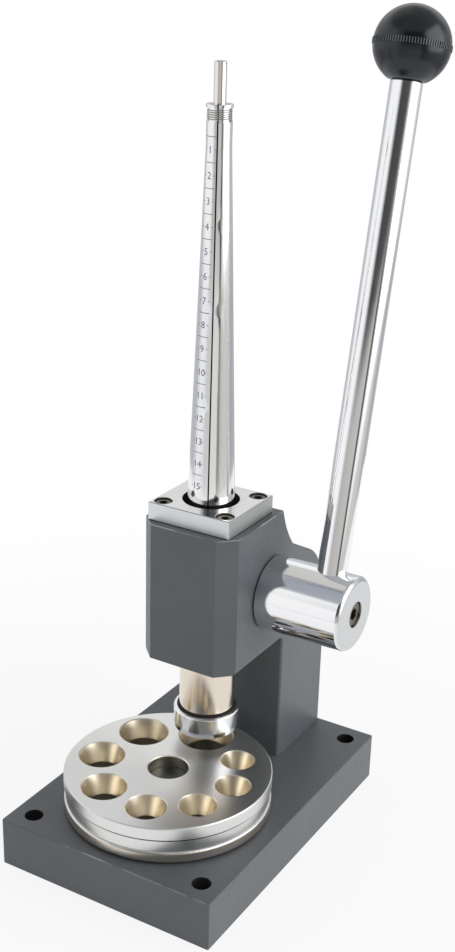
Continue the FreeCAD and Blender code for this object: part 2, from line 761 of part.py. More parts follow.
# Pinion shaft: one turned bar with the teeth cut in its middle, where a tooth faces the rack's gap.
def make_pinion_shaft():
    inner = "(head_width / 2 - shaft_bush_length)"
    tail = "(-head_width / 2 - shaft_end_gap - shaft_washer_thickness)"
    groove_end = f"({tail} - retainer_thickness)"
    groove = "(small_journal_radius - retainer_groove_depth)"
    owner = turned_along_x("pinion_shaft", [
        (f"{groove_end} - shaft_tail", "0"),
        (f"{groove_end} - shaft_tail", "small_journal_radius - lever_chamfer"),
        (f"{groove_end} - shaft_tail + lever_chamfer", "small_journal_radius"),
        (groove_end, "small_journal_radius"),
        (groove_end, groove),
        (tail, groove),
        (tail, "small_journal_radius"),
        (f"-{inner}", "small_journal_radius"),
        (f"-{inner}", "journal_radius"),
        ("head_width / 2", "journal_radius"),
        ("head_width / 2", "small_journal_radius"),
        ("shaft_stub_end", "small_journal_radius"),
        ("shaft_stub_end", "bolt_radius"),
        ("shaft_stub_end - hub_screw_grip - overrun", "bolt_radius"),
        ("shaft_stub_end - hub_screw_grip - overrun", "0"),
    ])
    root = "(pitch_radius - rack_addendum - rack_root_clearance)"
    base = "(pitch_radius * cos(pressure_angle))"
    over = "(journal_radius + overrun)"
    radii = [root, base, f"(({base} + pitch_radius) / 2)", "pitch_radius",
             "((pitch_radius + journal_radius) / 2)", "journal_radius", over]
    left = [flank_corner(radius, -1) for radius in radii]
    right = [flank_corner(radius, 1) for radius in reversed(radii)]
    gap = outline(sketch(owner, "YZ_Plane", "tooth_gap"), left + right)
    teeth = cut(owner, gap, "tooth_gap_milling", "2 * ram_radius + 2 * running_clearance", middle=True)
    pattern = owner.newObject("PartDesign::PolarPattern", "pinion_shaft_teeth")
    pattern.Originals = [teeth]
    pattern.Axis = (plane(owner, "X_Axis"), [""])
    pattern.Angle = 360
    pattern.Occurrences = int(worth("pinion_teeth"))
    owner.Tip = pattern
    doc.recompute()
    keyway = rectangle(sketch(owner, "XZ_Plane", "keyway"), "shaft_stub_end - shaft_key_length",
                       "small_journal_radius - shaft_key_depth", "shaft_stub_end + overrun",
                       "small_journal_radius + overrun")
    cut(owner, keyway, "keyway_milling", "shaft_key_width", middle=True)
    place(owner, y="ram_axis_y + shaft_behind_ram", z="shaft_height", axis=(1, 0, 0), angle="-lever_tilt")


def ride_shaft(owner):
    place(owner, y="ram_axis_y + shaft_behind_ram", z="shaft_height", axis=(1, 0, 0), angle="-lever_tilt")


def make_shaft_key():
    owner = body("shaft_key")
    drawing = rectangle(sketch(owner, "XZ_Plane", "outline"), "shaft_stub_end - shaft_key_length",
                        "small_journal_radius - shaft_key_depth", "shaft_stub_end",
                        "small_journal_radius + shaft_key_depth")
    feature(owner, "Pad", drawing, "bar", "shaft_key_width", middle=True)
    ride_shaft(owner)


# Washer and retaining ring on the shaft's left end.
def make_shaft_end_pieces():
    face = "(-head_width / 2 - shaft_end_gap)"
    outer = f"({face} - shaft_washer_thickness)"
    washer = turned_along_x("shaft_washer", [
        (outer, "small_journal_radius"), (outer, "shaft_washer_radius"),
        (face, "shaft_washer_radius"), (face, "small_journal_radius")])
    ride_shaft(washer)
    inner = "(small_journal_radius - retainer_groove_depth)"
    end = f"({outer} - retainer_thickness)"
    ring = turned_along_x("shaft_retaining_ring", [
        (end, inner), (end, "retainer_radius"), (outer, "retainer_radius"), (outer, inner)])
    mouth = rectangle(sketch(ring, "YZ_Plane", "mouth"), "-retainer_mouth / 2", "0",
                      "retainer_mouth / 2", "retainer_radius + overrun")
    cut(ring, mouth, "mouth_cut", middle=True)
    ride_shaft(ring)


# Hub: chromed drum on the shaft's stub, with a radial hole for the lever and a counterbore in its
# end for the screw that draws it onto the shaft.
def make_hub():
    start = "(head_width / 2 + shaft_end_gap)"
    screw_floor = "(hub_end - hub_counterbore_depth)"
    bore_end = "(shaft_stub_end + shaft_end_gap)"
    owner = turned_along_x("lever_hub", [
        (start, "small_journal_radius"),
        (start, "hub_radius - hub_inner_chamfer"),
        (f"{start} + hub_inner_chamfer", "hub_radius"),
        ("hub_end - hub_edge_depth", "hub_radius"),
        ("hub_end", "hub_radius - hub_edge_reach", "hub_edge_round", 1),
        ("hub_end", "bolt_head_radius + bolt_head_clearance"),
        (screw_floor, "bolt_head_radius + bolt_head_clearance"),
        (screw_floor, "bolt_radius"),
        (bore_end, "bolt_radius"),
        (bore_end, "small_journal_radius"),
    ])
    keyway = rectangle(sketch(owner, "XZ_Plane", "keyway"), f"{start} - overrun", "0", bore_end,
                       "small_journal_radius + shaft_key_depth")
    cut(owner, keyway, "keyway_broaching", "shaft_key_width", middle=True)
    socket = circle(sketch(owner, "XY_Plane", "lever_socket", "lever_foot"),
                    "lever_place", "0", "lever_radius")
    cut(owner, socket, "lever_boring", "hub_radius", backwards=True)
    ride_shaft(owner)


def make_hub_screw():
    length = "(hub_end - hub_counterbore_depth - shaft_stub_end + hub_screw_grip)"
    made = bolt("hub_screw_solid", length)
    group = doc.addObject("Part::Compound", "hub_screw_turned")
    group.Links = [made]
    place(made, "shaft_stub_end - hub_screw_grip", "0", "0", (0, 1, 0), "90")
    ride_shaft(group)
    node(group, "hub_screw")


# Lever rod: chromed bar with a threaded spigot for the knob.
def make_lever():
    shoulder = "(ball_distance - sqrt(ball_radius ^ 2 - ball_flat_radius ^ 2))"
    owner = turned("lever_rod", [
        ("0", "lever_foot"),
        ("lever_radius", "lever_foot"),
        ("lever_radius", f"{shoulder} - lever_chamfer"),
        ("lever_radius - lever_chamfer", shoulder),
        ("spigot_radius", shoulder),
        ("spigot_radius", f"{shoulder} + spigot_length"),
        ("0", f"{shoulder} + spigot_length"),
    ])
    place(owner, "lever_place", "ram_axis_y + shaft_behind_ram", "shaft_height", (1, 0, 0), "-lever_tilt")
    insert_top = f"({shoulder} + insert_length)"
    insert = turned("knob_insert", [
        ("spigot_radius", shoulder),
        ("insert_radius", shoulder),
        ("insert_radius", insert_top),
        ("0", insert_top),
        ("0", f"{shoulder} + spigot_length"),
        ("spigot_radius", f"{shoulder} + spigot_length"),
    ])
    place(insert, "lever_place", "ram_axis_y + shaft_behind_ram", "shaft_height", (1, 0, 0), "-lever_tilt")
    band_low = "(ball_distance - ball_band_width / 2)"
    band_high = "(ball_distance + ball_band_width / 2)"
    at_band = "sqrt(ball_radius ^ 2 - (ball_band_width / 2) ^ 2)"
    knob = turned("ball_knob", [
        ("insert_radius", shoulder),
        ("ball_flat_radius", shoulder),
        (at_band, band_low, "ball_radius", -1),
        ("ball_band_radius", band_low),
        ("ball_band_radius", band_high),
        (at_band, band_high),
        ("0", "ball_distance + ball_radius", "ball_radius", -1),
        ("0", insert_top),
        ("insert_radius", insert_top),
    ])
    place(knob, "lever_place", "ram_axis_y + shaft_behind_ram", "shaft_height", (1, 0, 0), "-lever_tilt")


# Pusher cup on the ram's foot, held by a rubber ring that sits in the ram's groove.
def make_cup():
    inner = "(cup_radius - cup_wall)"
    owner = turned("pusher_cup", [
        ("0", "0"),
        ("cup_radius - cup_foot_chamfer", "0"),
        ("cup_radius - cup_foot_chamfer / 4", "cup_foot_chamfer / 2"),
        ("cup_radius", "2 * cup_foot_chamfer"),
        ("cup_radius", "cup_height - cup_rim_round"),
        ("cup_radius - cup_rim_round", "cup_height", "cup_rim_round", -1),
        (inner, "cup_height"),
        (inner, "cup_floor"),
        ("0", "cup_floor"),
    ])
    place(owner, y="ram_axis_y", z="cup_bottom")
    ring = node(doc.addObject("Part::Torus", "cup_ring"), "cup_ring")
    ring.setExpression("Radius1", bound(f"{inner} - cup_ring_section"))
    ring.setExpression("Radius2", bound("cup_ring_section"))
    place(ring, y="ram_axis_y", z="cup_bottom + cup_floor + cup_ring_height")


def die_angles():
    """directions of the dies: equal webs between neighbours, starting under the ram"""
    angles = ["90"]
    for number in range(1, len(DIE_RADII)):
        chord = f"(die_hole_{number} + die_hole_{number + 1} + die_web)"
        angles.append(f"({angles[-1]} + 2 * asin({chord} / (2 * die_pitch_radius)) / 1 deg)")
    return angles


# Die plate: thick disc with a grooved waist round its edge, eight tapered dies and a central bore.
def make_die_plate():
    low = "(die_thickness - die_upper_band - die_waist_height)"
    waist = "(die_radius - die_waist_depth)"
    owner = turned("die_plate", [
        ("die_bore_radius", "0"),
        ("die_radius - die_band_round", "0"),
        ("die_radius", "die_band_round", "die_band_round", -1),
        ("die_radius", f"{low} - die_band_round"),
        ("die_radius - die_band_round", low, "die_band_round", -1),
        (waist, low),
        (waist, "die_thickness - die_upper_band - die_groove_width"),
        (f"{waist} - die_groove_depth", "die_thickness - die_upper_band - die_groove_width"),
        (f"{waist} - die_groove_depth", "die_thickness - die_upper_band"),
        ("die_radius", "die_thickness - die_upper_band"),
        ("die_radius", "die_thickness - die_edge_chamfer"),
        ("die_radius - die_edge_chamfer", "die_thickness"),
        ("die_bore_radius + die_edge_chamfer", "die_thickness"),
        ("die_bore_radius", "die_thickness - die_edge_chamfer"),
    ])
    for number, angle in enumerate(die_angles(), start=1):
        centre = (f"die_pitch_radius * cos({angle})", f"die_pitch_radius * sin({angle})")
        cone = circle(sketch(owner, "XY_Plane", f"die_{number}", "die_thickness"), *centre,
                      f"die_hole_{number}")
        cut(owner, cone, f"die_{number}_taper", "die_cone_depth",
            taper="-atan(die_cone_inset / die_cone_depth)")
        mouth = circle(sketch(owner, "XY_Plane", f"die_{number}_mouth", "die_thickness"), *centre,
                       f"die_hole_{number} + die_mouth")
        cut(owner, mouth, f"die_{number}_breaking", "die_mouth", taper="-45")
        land = circle(sketch(owner, "XY_Plane", f"die_{number}_land", "die_thickness"), *centre,
                      f"die_hole_{number} - die_cone_inset")
        cut(owner, land, f"die_{number}_boring")
        relief = circle(sketch(owner, "XY_Plane", f"die_{number}_relief"), *centre,
                        f"die_hole_{number} - die_cone_inset + die_relief")
        cut(owner, relief, f"die_{number}_relieving", "die_thickness - die_cone_depth - die_land",
            backwards=True)
    place(owner, y="die_axis_y", z="die_bottom")


# Pivot of the die plate, a flat topped post held by a screw from under the base, and the thrust
# washer round it.
def make_die_pivot():
    radius = "(die_bore_radius - pivot_clearance)"
    top = "(die_washer_thickness + die_thickness - pivot_top_depth)"
    thread_top = "(pivot_screw_grip - pivot_spigot_length)"
    owner = turned("die_pivot", [
        ("bolt_radius", "-pivot_spigot_length"),
        ("pivot_spigot_radius", "-pivot_spigot_length"),
        ("pivot_spigot_radius", "0"),
        (radius, "0"),
        (radius, f"{top} - pivot_chamfer"),
        (f"{radius} - pivot_chamfer", top),
        ("0", top),
        ("0", thread_top),
        ("bolt_radius", thread_top),
    ])
    place(owner, y="die_axis_y", z="base_thickness")
    washer = turned("die_washer", [
        (radius, "0"), ("die_washer_radius", "0"),
        ("die_washer_radius", "die_washer_thickness"), (radius, "die_washer_thickness")])
    place(washer, y="die_axis_y", z="base_thickness")
    length = "(base_thickness - bolt_recess - bolt_head_height - pivot_spigot_length + pivot_screw_grip)"
    made = bolt("pivot_screw_solid", length)
    place(made, "0", "die_axis_y", f"bolt_recess + bolt_head_height + {length}", (1, 0, 0), "180")
    make_screw_group("pivot_screw", [made])


# Mandrel segment: a quarter of the tapered sleeve, with its foot flange under the top plate.
def make_mandrel_segments():
    foot_bottom = "foot_floor"
    foot_top = "(foot_floor + foot_thickness)"
    ring_middle = "(foot_floor + foot_thickness / 2)"
    outside = [
        ("nut_room_radius", foot_bottom),
        ("foot_radius - foot_chamfer", foot_bottom),
        ("foot_radius", f"{foot_bottom} + foot_chamfer"),
        ("foot_radius", f"{ring_middle} - foot_ring_section"),
        ("foot_radius - foot_ring_groove", f"{ring_middle} - foot_ring_section"),
        ("foot_radius - foot_ring_groove", f"{ring_middle} + foot_ring_section"),
        ("foot_radius", f"{ring_middle} + foot_ring_section"),
        ("foot_radius", f"{foot_top} - foot_chamfer"),
        ("foot_radius - foot_chamfer", foot_top),
        ("neck_radius", foot_top),
        ("neck_radius", "neck_start"),
        ("mandrel_head_radius", "head_start"),
        ("mandrel_head_radius", "groove_top - groove_height"),
        ("lip_radius - lip_edge - groove_depth", "groove_top - groove_height"),
        ("lip_radius - lip_edge - groove_depth", "groove_top"),
        ("lip_radius", "groove_top"),
        ("lip_radius", "mandrel_top - lip_edge"),
        ("lip_radius - lip_edge", "mandrel_top"),
    ]
    inside = [
        ("rod_radius + wedge_gap", "mandrel_top"),
        ("rod_radius + wedge_gap", "upper_wedge_top"),
        ("rod_neck + wedge_gap", "upper_wedge_bottom"),
        ("rod_neck + wedge_gap", "relief_top"),
        ("rod_body_radius + wedge_gap", "rod_body_top"),
        ("rod_body_radius + wedge_gap", "lower_wedge_top"),
        ("rod_stem + wedge_gap", "lower_wedge_bottom"),
        ("rod_stem + wedge_gap", f"{foot_bottom} + nut_room_height"),
        ("nut_room_radius", f"{foot_bottom} + nut_room_height"),
    ]
    for number, label in enumerate(("mandrel_segment_right", "mandrel_segment_back",
                                    "mandrel_segment_left", "mandrel_segment_front")):
        owner = turned(label, outside + inside)
        rim = "(foot_radius + overrun)"
        gone = outline(sketch(owner, "XY_Plane", "other_quarters"), [
            ("slit_width / 2", rim),
            (f"-{rim}", rim),
            (f"-{rim}", f"-{rim}"),
            (rim, f"-{rim}"),
            (rim, "slit_width / 2"),
            ("slit_width / 2", "slit_width / 2"),
        ])
        cut(owner, gone, "slitting", "mandrel_top + overrun", backwards=True)
        place(owner, y="ram_axis_y", axis=(0, 0, 1), angle=f"slit_angle - 90 + {number} * 90")


# Expander rod: plain top, one wedge near the mandrel's top, a thicker body with the second wedge
# near its foot, and a thread in the ram. A lock nut holds it.
def make_expander_rod():
    nut_top = "(ram_top + lock_nut_height)"
    owner = turned("expander_rod", [
        ("0", "ram_top - rod_thread_length"),
        ("spigot_radius", "ram_top - rod_thread_length"),
        ("spigot_radius", nut_top),
        ("rod_stem", nut_top),
        ("rod_stem", "lower_wedge_bottom"),
        ("rod_body_radius", "lower_wedge_top"),
        ("rod_body_radius", "rod_body_top"),
        ("rod_neck", "relief_top"),
        ("rod_neck", "upper_wedge_bottom"),
        ("rod_radius", "upper_wedge_top"),
        ("rod_radius", "rod_top - rod_chamfer"),
        ("rod_radius - rod_chamfer", "rod_top"),
        ("0", "rod_top"),
    ])
    place(owner, y="ram_axis_y")
    blank = doc.addObject("Part::Prism", "lock_nut_blank")
    blank.Polygon = 6
    blank.setExpression("Circumradius", bound("lock_nut_key / cos(30)"))
    blank.setExpression("Height", bound("lock_nut_height"))
    hole = doc.addObject("Part::Cylinder", "lock_nut_thread")
    hole.setExpression("Radius", bound("spigot_radius"))
    hole.setExpression("Height", bound("lock_nut_height"))
    nut = doc.addObject("Part::Cut", "lock_nut_cut")
    nut.Base = blank
    nut.Tool = hole
    node(nut, "rod_lock_nut")
    place(nut, y="ram_axis_y", z="ram_top")


# Rubber ring round the segments' feet, inside the head.
def make_foot_ring():
    ring = node(doc.addObject("Part::Torus", "foot_ring"), "mandrel_foot_ring")
    middle = "foot_radius - foot_ring_groove + foot_ring_section + spring_seat_gap"
    ring.setExpression("Radius1", bound(middle))
    ring.setExpression("Radius2", bound("foot_ring_section - spring_seat_gap"))
    place(ring, y="ram_axis_y", z="foot_floor + foot_thickness / 2")


def helix_point(radius, pitch, start, turn):
    angle = 2 * math.pi * turn
    return FreeCAD.Vector(radius * math.cos(angle), radius * math.sin(angle), start + pitch * turn)


def biarc(first, first_way, second, second_way):
    """two arcs that join two points with the given directions, through equal tangent lengths"""
    gap = second - first
    ways = first_way + second_way
    square = ways.dot(ways) - 4
    middle = gap.dot(ways)
    reach = (-middle + math.sqrt(middle * middle - square * gap.dot(gap))) / square
    if reach < 0:
        reach = (-middle - math.sqrt(middle * middle - square * gap.dot(gap))) / square
    corner_one = first + first_way * reach
    corner_two = second - second_way * reach
    joint = (corner_one + corner_two) / 2
    arcs = []
    for start, way, end in ((first, first_way, joint), (second, -second_way, joint)):
        chord = end - start
        across = chord - way * chord.dot(way)
        swing = 2 * math.atan2(across.Length, chord.dot(way))
        radius = chord.Length / (2 * math.sin(swing / 2))
        centre = start + across.normalize() * radius
        middle_point = centre + ((start + end) / 2 - centre).normalize() * radius
        arcs.append((start, middle_point, end))
    second_arc = arcs[1]
    return [Part.Arc(*arcs[0]).toShape(),
            Part.Arc(second_arc[2], second_arc[1], second_arc[0]).toShape()]


# Wire spring wound round the mandrel's top: one unbroken wire, biarcs of half a turn.
def make_mandrel_spring():
    wire_radius = worth("spring_wire_radius")
    radius = worth("lip_radius - lip_edge - groove_depth + spring_wire_radius + spring_seat_gap")
    pitch = worth("spring_pitch")
    turns = worth("spring_turns")
    start = worth("groove_top - groove_height / 2 - spring_pitch * spring_turns / 2")
    slope = pitch / (2 * math.pi * radius)
    length = math.sqrt(1 + slope * slope)
    halves = int(round(turns * 2))
    edges = []
    for half in range(halves):
        ends = []
        for turn in (half / 2, (half + 1) / 2):
            angle = 2 * math.pi * turn
            way = FreeCAD.Vector(-math.sin(angle), math.cos(angle), slope) / length
            ends += [helix_point(radius, pitch, start, turn), way]
        edges += biarc(*ends)
    path = Part.Wire(edges)
    way = FreeCAD.Vector(0, 1, slope) / length
    section = Part.Wire(Part.Circle(helix_point(radius, pitch, start, 0), way, wire_radius).toShape())
    tube = path.makePipeShell([section], True, False)
    spring = doc.addObject("Part::Feature", "mandrel_spring")
    spring.Shape = tube
    node(spring, "mandrel_spring")
    spring.Placement.Base = FreeCAD.Vector(0, worth("ram_axis_y"), 0)
    steps = 48
    samples = [helix_point(radius, pitch, start, index / steps)
               for index in range(int(turns * steps))]
    least = min((samples[later] - samples[earlier]).Length
                for earlier in range(len(samples))
                for later in range(earlier + steps // 2, len(samples)))
    print(f"spring: least gap to itself {least - 2 * wire_radius:.3f} mm, "
          f"volume {tube.Volume:.3f} against {math.pi * wire_radius ** 2 * path.Length:.3f} mm3")


make_base_plate()
make_frame_casting()
make_frame_bolts()
make_top_plate()
make_plate_screws()
make_ram_bushes()
make_shaft_bushes()
make_ram()
make_pinion_shaft()
make_shaft_key()
make_shaft_end_pieces()
make_hub()
make_hub_screw()
make_lever()
make_cup()
make_die_plate()
make_die_pivot()
make_mandrel_segments()
make_expander_rod()
make_foot_ring()
make_mandrel_spring()
doc.recompute()

for thing in doc.Objects:
    if "Invalid" in thing.State or "Error" in thing.State:
        raise ValueError(f"{thing.Name} did not compute: {thing.State}")
for thing in NODES:
    if thing.Shape.isNull() or not thing.Shape.isValid():
        raise ValueError(f"{thing.Label} has no valid shape")

os.makedirs("parts", exist_ok=True)
for thing in NODES:
    thing.Shape.exportStep(f"parts/{thing.Label}.step")
    box = thing.Shape.BoundBox
    print(f"{thing.Label}: {len(thing.Shape.Solids)} solid, {thing.Shape.Volume:.1f} mm3, "
          f"x {box.XMin:.1f} {box.XMax:.1f}, y {box.YMin:.1f} {box.YMax:.1f}, "
          f"z {box.ZMin:.1f} {box.ZMax:.1f}")
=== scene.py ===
"""A bench ring stretcher: the looks of its pieces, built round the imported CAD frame.

Lengths are in metres, and the object's front looks along -Y.
"""
import json
import math

import bmesh
import bpy
from mathutils import Matrix, Vector

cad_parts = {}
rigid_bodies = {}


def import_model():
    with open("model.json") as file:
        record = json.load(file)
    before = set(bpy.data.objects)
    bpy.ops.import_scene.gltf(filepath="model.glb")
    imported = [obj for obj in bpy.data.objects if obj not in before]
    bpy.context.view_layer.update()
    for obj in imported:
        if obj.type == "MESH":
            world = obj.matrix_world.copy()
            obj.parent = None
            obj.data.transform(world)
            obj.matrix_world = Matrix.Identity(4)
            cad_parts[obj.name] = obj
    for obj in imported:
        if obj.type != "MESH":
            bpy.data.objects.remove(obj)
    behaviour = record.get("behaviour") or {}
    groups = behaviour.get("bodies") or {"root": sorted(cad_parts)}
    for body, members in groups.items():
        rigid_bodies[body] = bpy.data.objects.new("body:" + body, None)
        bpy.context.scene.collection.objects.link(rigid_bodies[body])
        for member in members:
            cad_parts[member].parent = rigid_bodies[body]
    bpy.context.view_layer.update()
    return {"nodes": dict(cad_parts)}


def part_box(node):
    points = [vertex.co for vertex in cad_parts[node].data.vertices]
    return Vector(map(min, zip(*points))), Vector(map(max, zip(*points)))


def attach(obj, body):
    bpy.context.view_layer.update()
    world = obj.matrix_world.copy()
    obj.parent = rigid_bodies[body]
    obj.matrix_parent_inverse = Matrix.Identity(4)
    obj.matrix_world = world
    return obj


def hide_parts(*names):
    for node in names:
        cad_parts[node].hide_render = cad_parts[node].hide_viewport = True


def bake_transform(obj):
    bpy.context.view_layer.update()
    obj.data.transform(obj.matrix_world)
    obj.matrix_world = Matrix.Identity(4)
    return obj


for leftover in list(bpy.data.objects):
    bpy.data.objects.remove(leftover)
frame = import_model()


# Base plate: a thick slab of mild steel with four bench bolt holes, powder coated slate grey.
# The coat is satin with a fine orange peel, and it is rubbed through to bare steel along the
# front top edge, where the work is slid on and off; that light edge is partly a painted edge
# highlight.

def linear(colour):
    """An sRGB hex colour as linear red, green, blue and alpha."""
    parts = [int(colour[i:i + 2], 16) / 255 for i in (1, 3, 5)]
    return [p / 12.92 if p <= 0.04045 else ((p + 0.055) / 1.055) ** 2.4 for p in parts] + [1.0]


def add(owner, kind, sockets=None, **settings):
    """Adds a shader node. Sockets gives each input a number, a colour or another node's output."""
    node = owner.node_tree.nodes.new("ShaderNode" + kind)
    for name, value in settings.items():
        setattr(node, name, value)
    for name, value in (sockets or {}).items():
        if isinstance(value, bpy.types.NodeSocket):
            owner.node_tree.links.new(value, node.inputs[name])
        else:
            node.inputs[name].default_value = value
    return node


def finish_of(name, sockets):
    """A new material with one Principled shader, whose sockets are still to be linked."""
    material = bpy.data.materials.new(name)
    material.use_nodes = True
    material.node_tree.nodes.clear()
    shader = add(material, "BsdfPrincipled", sockets)
    add(material, "OutputMaterial", {"Surface": shader.outputs["BSDF"]})
    return material, shader, add(material, "TexCoord").outputs["Object"]


def dress(material, shader, colour, roughness, bump=None):
    """Links the finished colour, the roughness and a bump to the shader."""
    links = material.node_tree.links
    links.new(colour, shader.inputs["Base Color"])
    links.new(roughness, shader.inputs["Roughness"])
    if bump:
        links.new(bump.outputs["Normal"], shader.inputs["Normal"])


def coat(material, *names):
    """Gives CAD nodes a new finish."""
    for name in names:
        for held in frame["nodes"][name].material_slots:
            held.material = material


# How far inside a face the mask of that face starts.
SKIN = 0.0001

BASE_TOP = 0.027
BASE_FRONT = -0.091
BENCH_HOLE = (0.0521, 0.079, 0.0)
BENCH_HOLE_RADIUS = 0.005
BENCH_HOLE_EDGE = 0.0003
EDGE_WEAR_HIGHLIGHT_START = -0.04
EDGE_WEAR_HIGHLIGHT_FULL = -0.02


def powder_coat(name):
    """Powder coat on steel: 0.9 mm orange peel, faint 30 mm clouding, satin sheen.

    The colour comes back still to be linked.
    """
    material, shader, place = finish_of(name, {"Specular IOR Level": 0.5})
    cloud = add(material, "TexNoise", {"Vector": place, "Scale": 34.0, "Detail": 3.0})
    peel = add(material, "TexNoise", {"Vector": place, "Scale": 1100.0, "Detail": 2.0})
    speck = add(material, "TexNoise", {"Vector": place, "Scale": 620.0, "Detail": 4.0})
    tone = add(material, "Mix", {"Factor": cloud.outputs["Fac"], 6: linear("#5C6064"),
                                 7: linear("#666A6E")}, data_type="RGBA")
    sheen = add(material, "MapRange", {"Value": speck.outputs["Fac"], "From Min": 0.3,
                                       "From Max": 0.7, "To Min": 0.36, "To Max": 0.5})
    bump = add(material, "Bump", {"Height": peel.outputs["Fac"], "Strength": 0.35,
                                  "Distance": 0.00006})
    dress(material, shader, tone.outputs[2], sheen.outputs[0], bump)
    return material, shader, place, tone.outputs[2]


def rubbed(material, place, away, coated):
    """Light patches within 0.6 mm of an edge: partly coat rubbed through, partly a painted
    highlight.
    """
    near = add(material, "MapRange", {"Value": away, "From Min": 0.0002, "From Max": 0.0006,
                                      "To Min": 1.0, "To Max": 0.0})
    patch = add(material, "TexNoise", {"Vector": place, "Scale": 75.0, "Detail": 6.0})
    some = add(material, "MapRange", {"Value": patch.outputs["Fac"], "From Min": 0.38,
                                      "From Max": 0.54})
    wear_and_highlight = add(material, "Math", {0: near.outputs[0], 1: some.outputs[0]}, operation="MULTIPLY")
    return add(material, "Mix", {"Factor": wear_and_highlight.outputs[0], 6: coated, 7: linear("#B4B4AF")},
               data_type="RGBA").outputs[2]


material, shader, place, coated = powder_coat("slate grey powder coat on the base plate")
split = add(material, "SeparateXYZ", {"Vector": place})
down = add(material, "Math", {0: BASE_TOP, 1: split.outputs["Z"]}, operation="SUBTRACT")
back = add(material, "Math", {0: split.outputs["Y"], 1: BASE_FRONT}, operation="SUBTRACT")
away = add(material, "Math", {0: down.outputs[0], 1: back.outputs[0]}, operation="MAXIMUM")
spared = add(material, "MapRange", {"Value": split.outputs["X"], "From Min": EDGE_WEAR_HIGHLIGHT_START,
                                    "From Max": EDGE_WEAR_HIGHLIGHT_FULL, "To Min": 0.001, "To Max": 0.0})
away = add(material, "Math", {0: away.outputs[0], 1: spared.outputs[0]}, operation="ADD")
# Along the front top edge the coat is lightened in patches: partly rubbed wear, partly a painted
# edge highlight.
coated = rubbed(material, place, away.outputs[0], coated)
# The bench bolt holes are painted near black below their rim: painted shade in the holes.
corner = add(material, "VectorMath", {0: place}, operation="ABSOLUTE")
corner = add(material, "VectorMath", {0: corner.outputs[0], 1: (1, 1, 0)}, operation="MULTIPLY")
reach = add(material, "VectorMath", {0: corner.outputs[0], 1: BENCH_HOLE}, operation="DISTANCE")
bolt_hole_shade = add(material, "Math", {0: reach.outputs["Value"], 1: BENCH_HOLE_RADIUS + SKIN},
              operation="LESS_THAN")
under = add(material, "Math", {0: down.outputs[0], 1: BENCH_HOLE_EDGE},
            operation="GREATER_THAN")
bolt_hole_shade = add(material, "Math", {0: bolt_hole_shade.outputs[0], 1: under.outputs[0]},
              operation="MULTIPLY")
colour = add(material, "Mix", {"Factor": bolt_hole_shade.outputs[0], 6: coated, 7: linear("#302C28")},
             data_type="RGBA")
material.node_tree.links.new(colour.outputs[2], shader.inputs["Base Color"])
coat(material, "base_plate")


# Frame casting: the column and the head block in one grey iron casting, milled where it stands
# and where it carries the top plate, and powder coated with the base plate. Four socket screws
# with a black oxide finish hold it from below, and a fifth holds the die pivot.

HEAD_TOP = 0.1805
HEAD_SIDE = 0.0281
HEAD_FRONT = -0.0187
HEAD_BEVEL = 0.0383

material, shader, place, coated = powder_coat("slate grey powder coat on the casting")
split = add(material, "SeparateXYZ", {"Vector": place})
out = add(material, "Math", {0: split.outputs["X"]}, operation="ABSOLUTE")
ahead = add(material, "Math", {0: split.outputs["Y"], 1: -1.0}, operation="MULTIPLY")
slant = add(material, "Math", {0: out.outputs[0], 1: ahead.outputs[0]}, operation="ADD")
inward = None
for socket, face in ((out, HEAD_SIDE), (ahead, -HEAD_FRONT), (slant, HEAD_BEVEL)):
    gap = add(material, "Math", {0: face, 1: socket.outputs[0]}, operation="SUBTRACT")
    inward = add(material, "Math", {0: gap.outputs[0], 1: inward.outputs[0]},
                 operation="MINIMUM") if inward else gap
down = add(material, "Math", {0: HEAD_TOP, 1: split.outputs["Z"]}, operation="SUBTRACT")
away = add(material, "Math", {0: down.outputs[0], 1: inward.outputs[0]}, operation="MAXIMUM")
# The head's top edges are lightened in patches: partly rubbed wear, partly a painted edge
# highlight.
material.node_tree.links.new(rubbed(material, place, away.outputs[0], coated),
                             shader.inputs["Base Color"])
coat(material, "frame_casting")


def grained(name, sockets, scale, detail, dark, light, bright, dull):
    """A finish mottled by one fine noise, in its colour and in its lustre."""
    material, shader, place = finish_of(name, sockets)
    grain = add(material, "TexNoise", {"Vector": place, "Scale": scale, "Detail": detail})
    tone = add(material, "Mix", {"Factor": grain.outputs["Fac"], 6: linear(dark),
                                 7: linear(light)}, data_type="RGBA")
    sheen = add(material, "MapRange", {"Value": grain.outputs["Fac"], "To Min": bright,
                                       "To Max": dull})
    dress(material, shader, tone.outputs[2], sheen.outputs[0])
    return material


# The oxide is thin, slightly oily, and browner where it is handled.
coat(grained("black oxide on screw steel", {"Metallic": 1.0}, 900.0, 3.0, "#665F56", "#8A8276",
             0.28, 0.5),
     "frame_bolts", "pivot_screw", "top_plate_screws", "hub_screw", "rod_lock_nut",
     "shaft_retaining_ring")


# Die plate: a disc turned from tool steel, faced and left satin, with a waist turned round its
# rim and eight tapered dies bored through it. The dies are lapped bright and have a straw tint
# from tempering, and so has the centre bore. The groove under the upper band is painted dark
# as shade, and the foot band is tinted warm as a painted reflection. It turns on a ground pivot,
# over a bronze washer, and the pivot is painted dark with the shade at the floor of the bore.

DIE_AXIS = (0.0, -0.0298, 0.0)
DIE_TOP = 0.0485
DIE_FOOT_REFLECTION_TOP = 0.0339
GROOVE_SHADE_REACH = 0.0544
DIES_REACH = 0.0536


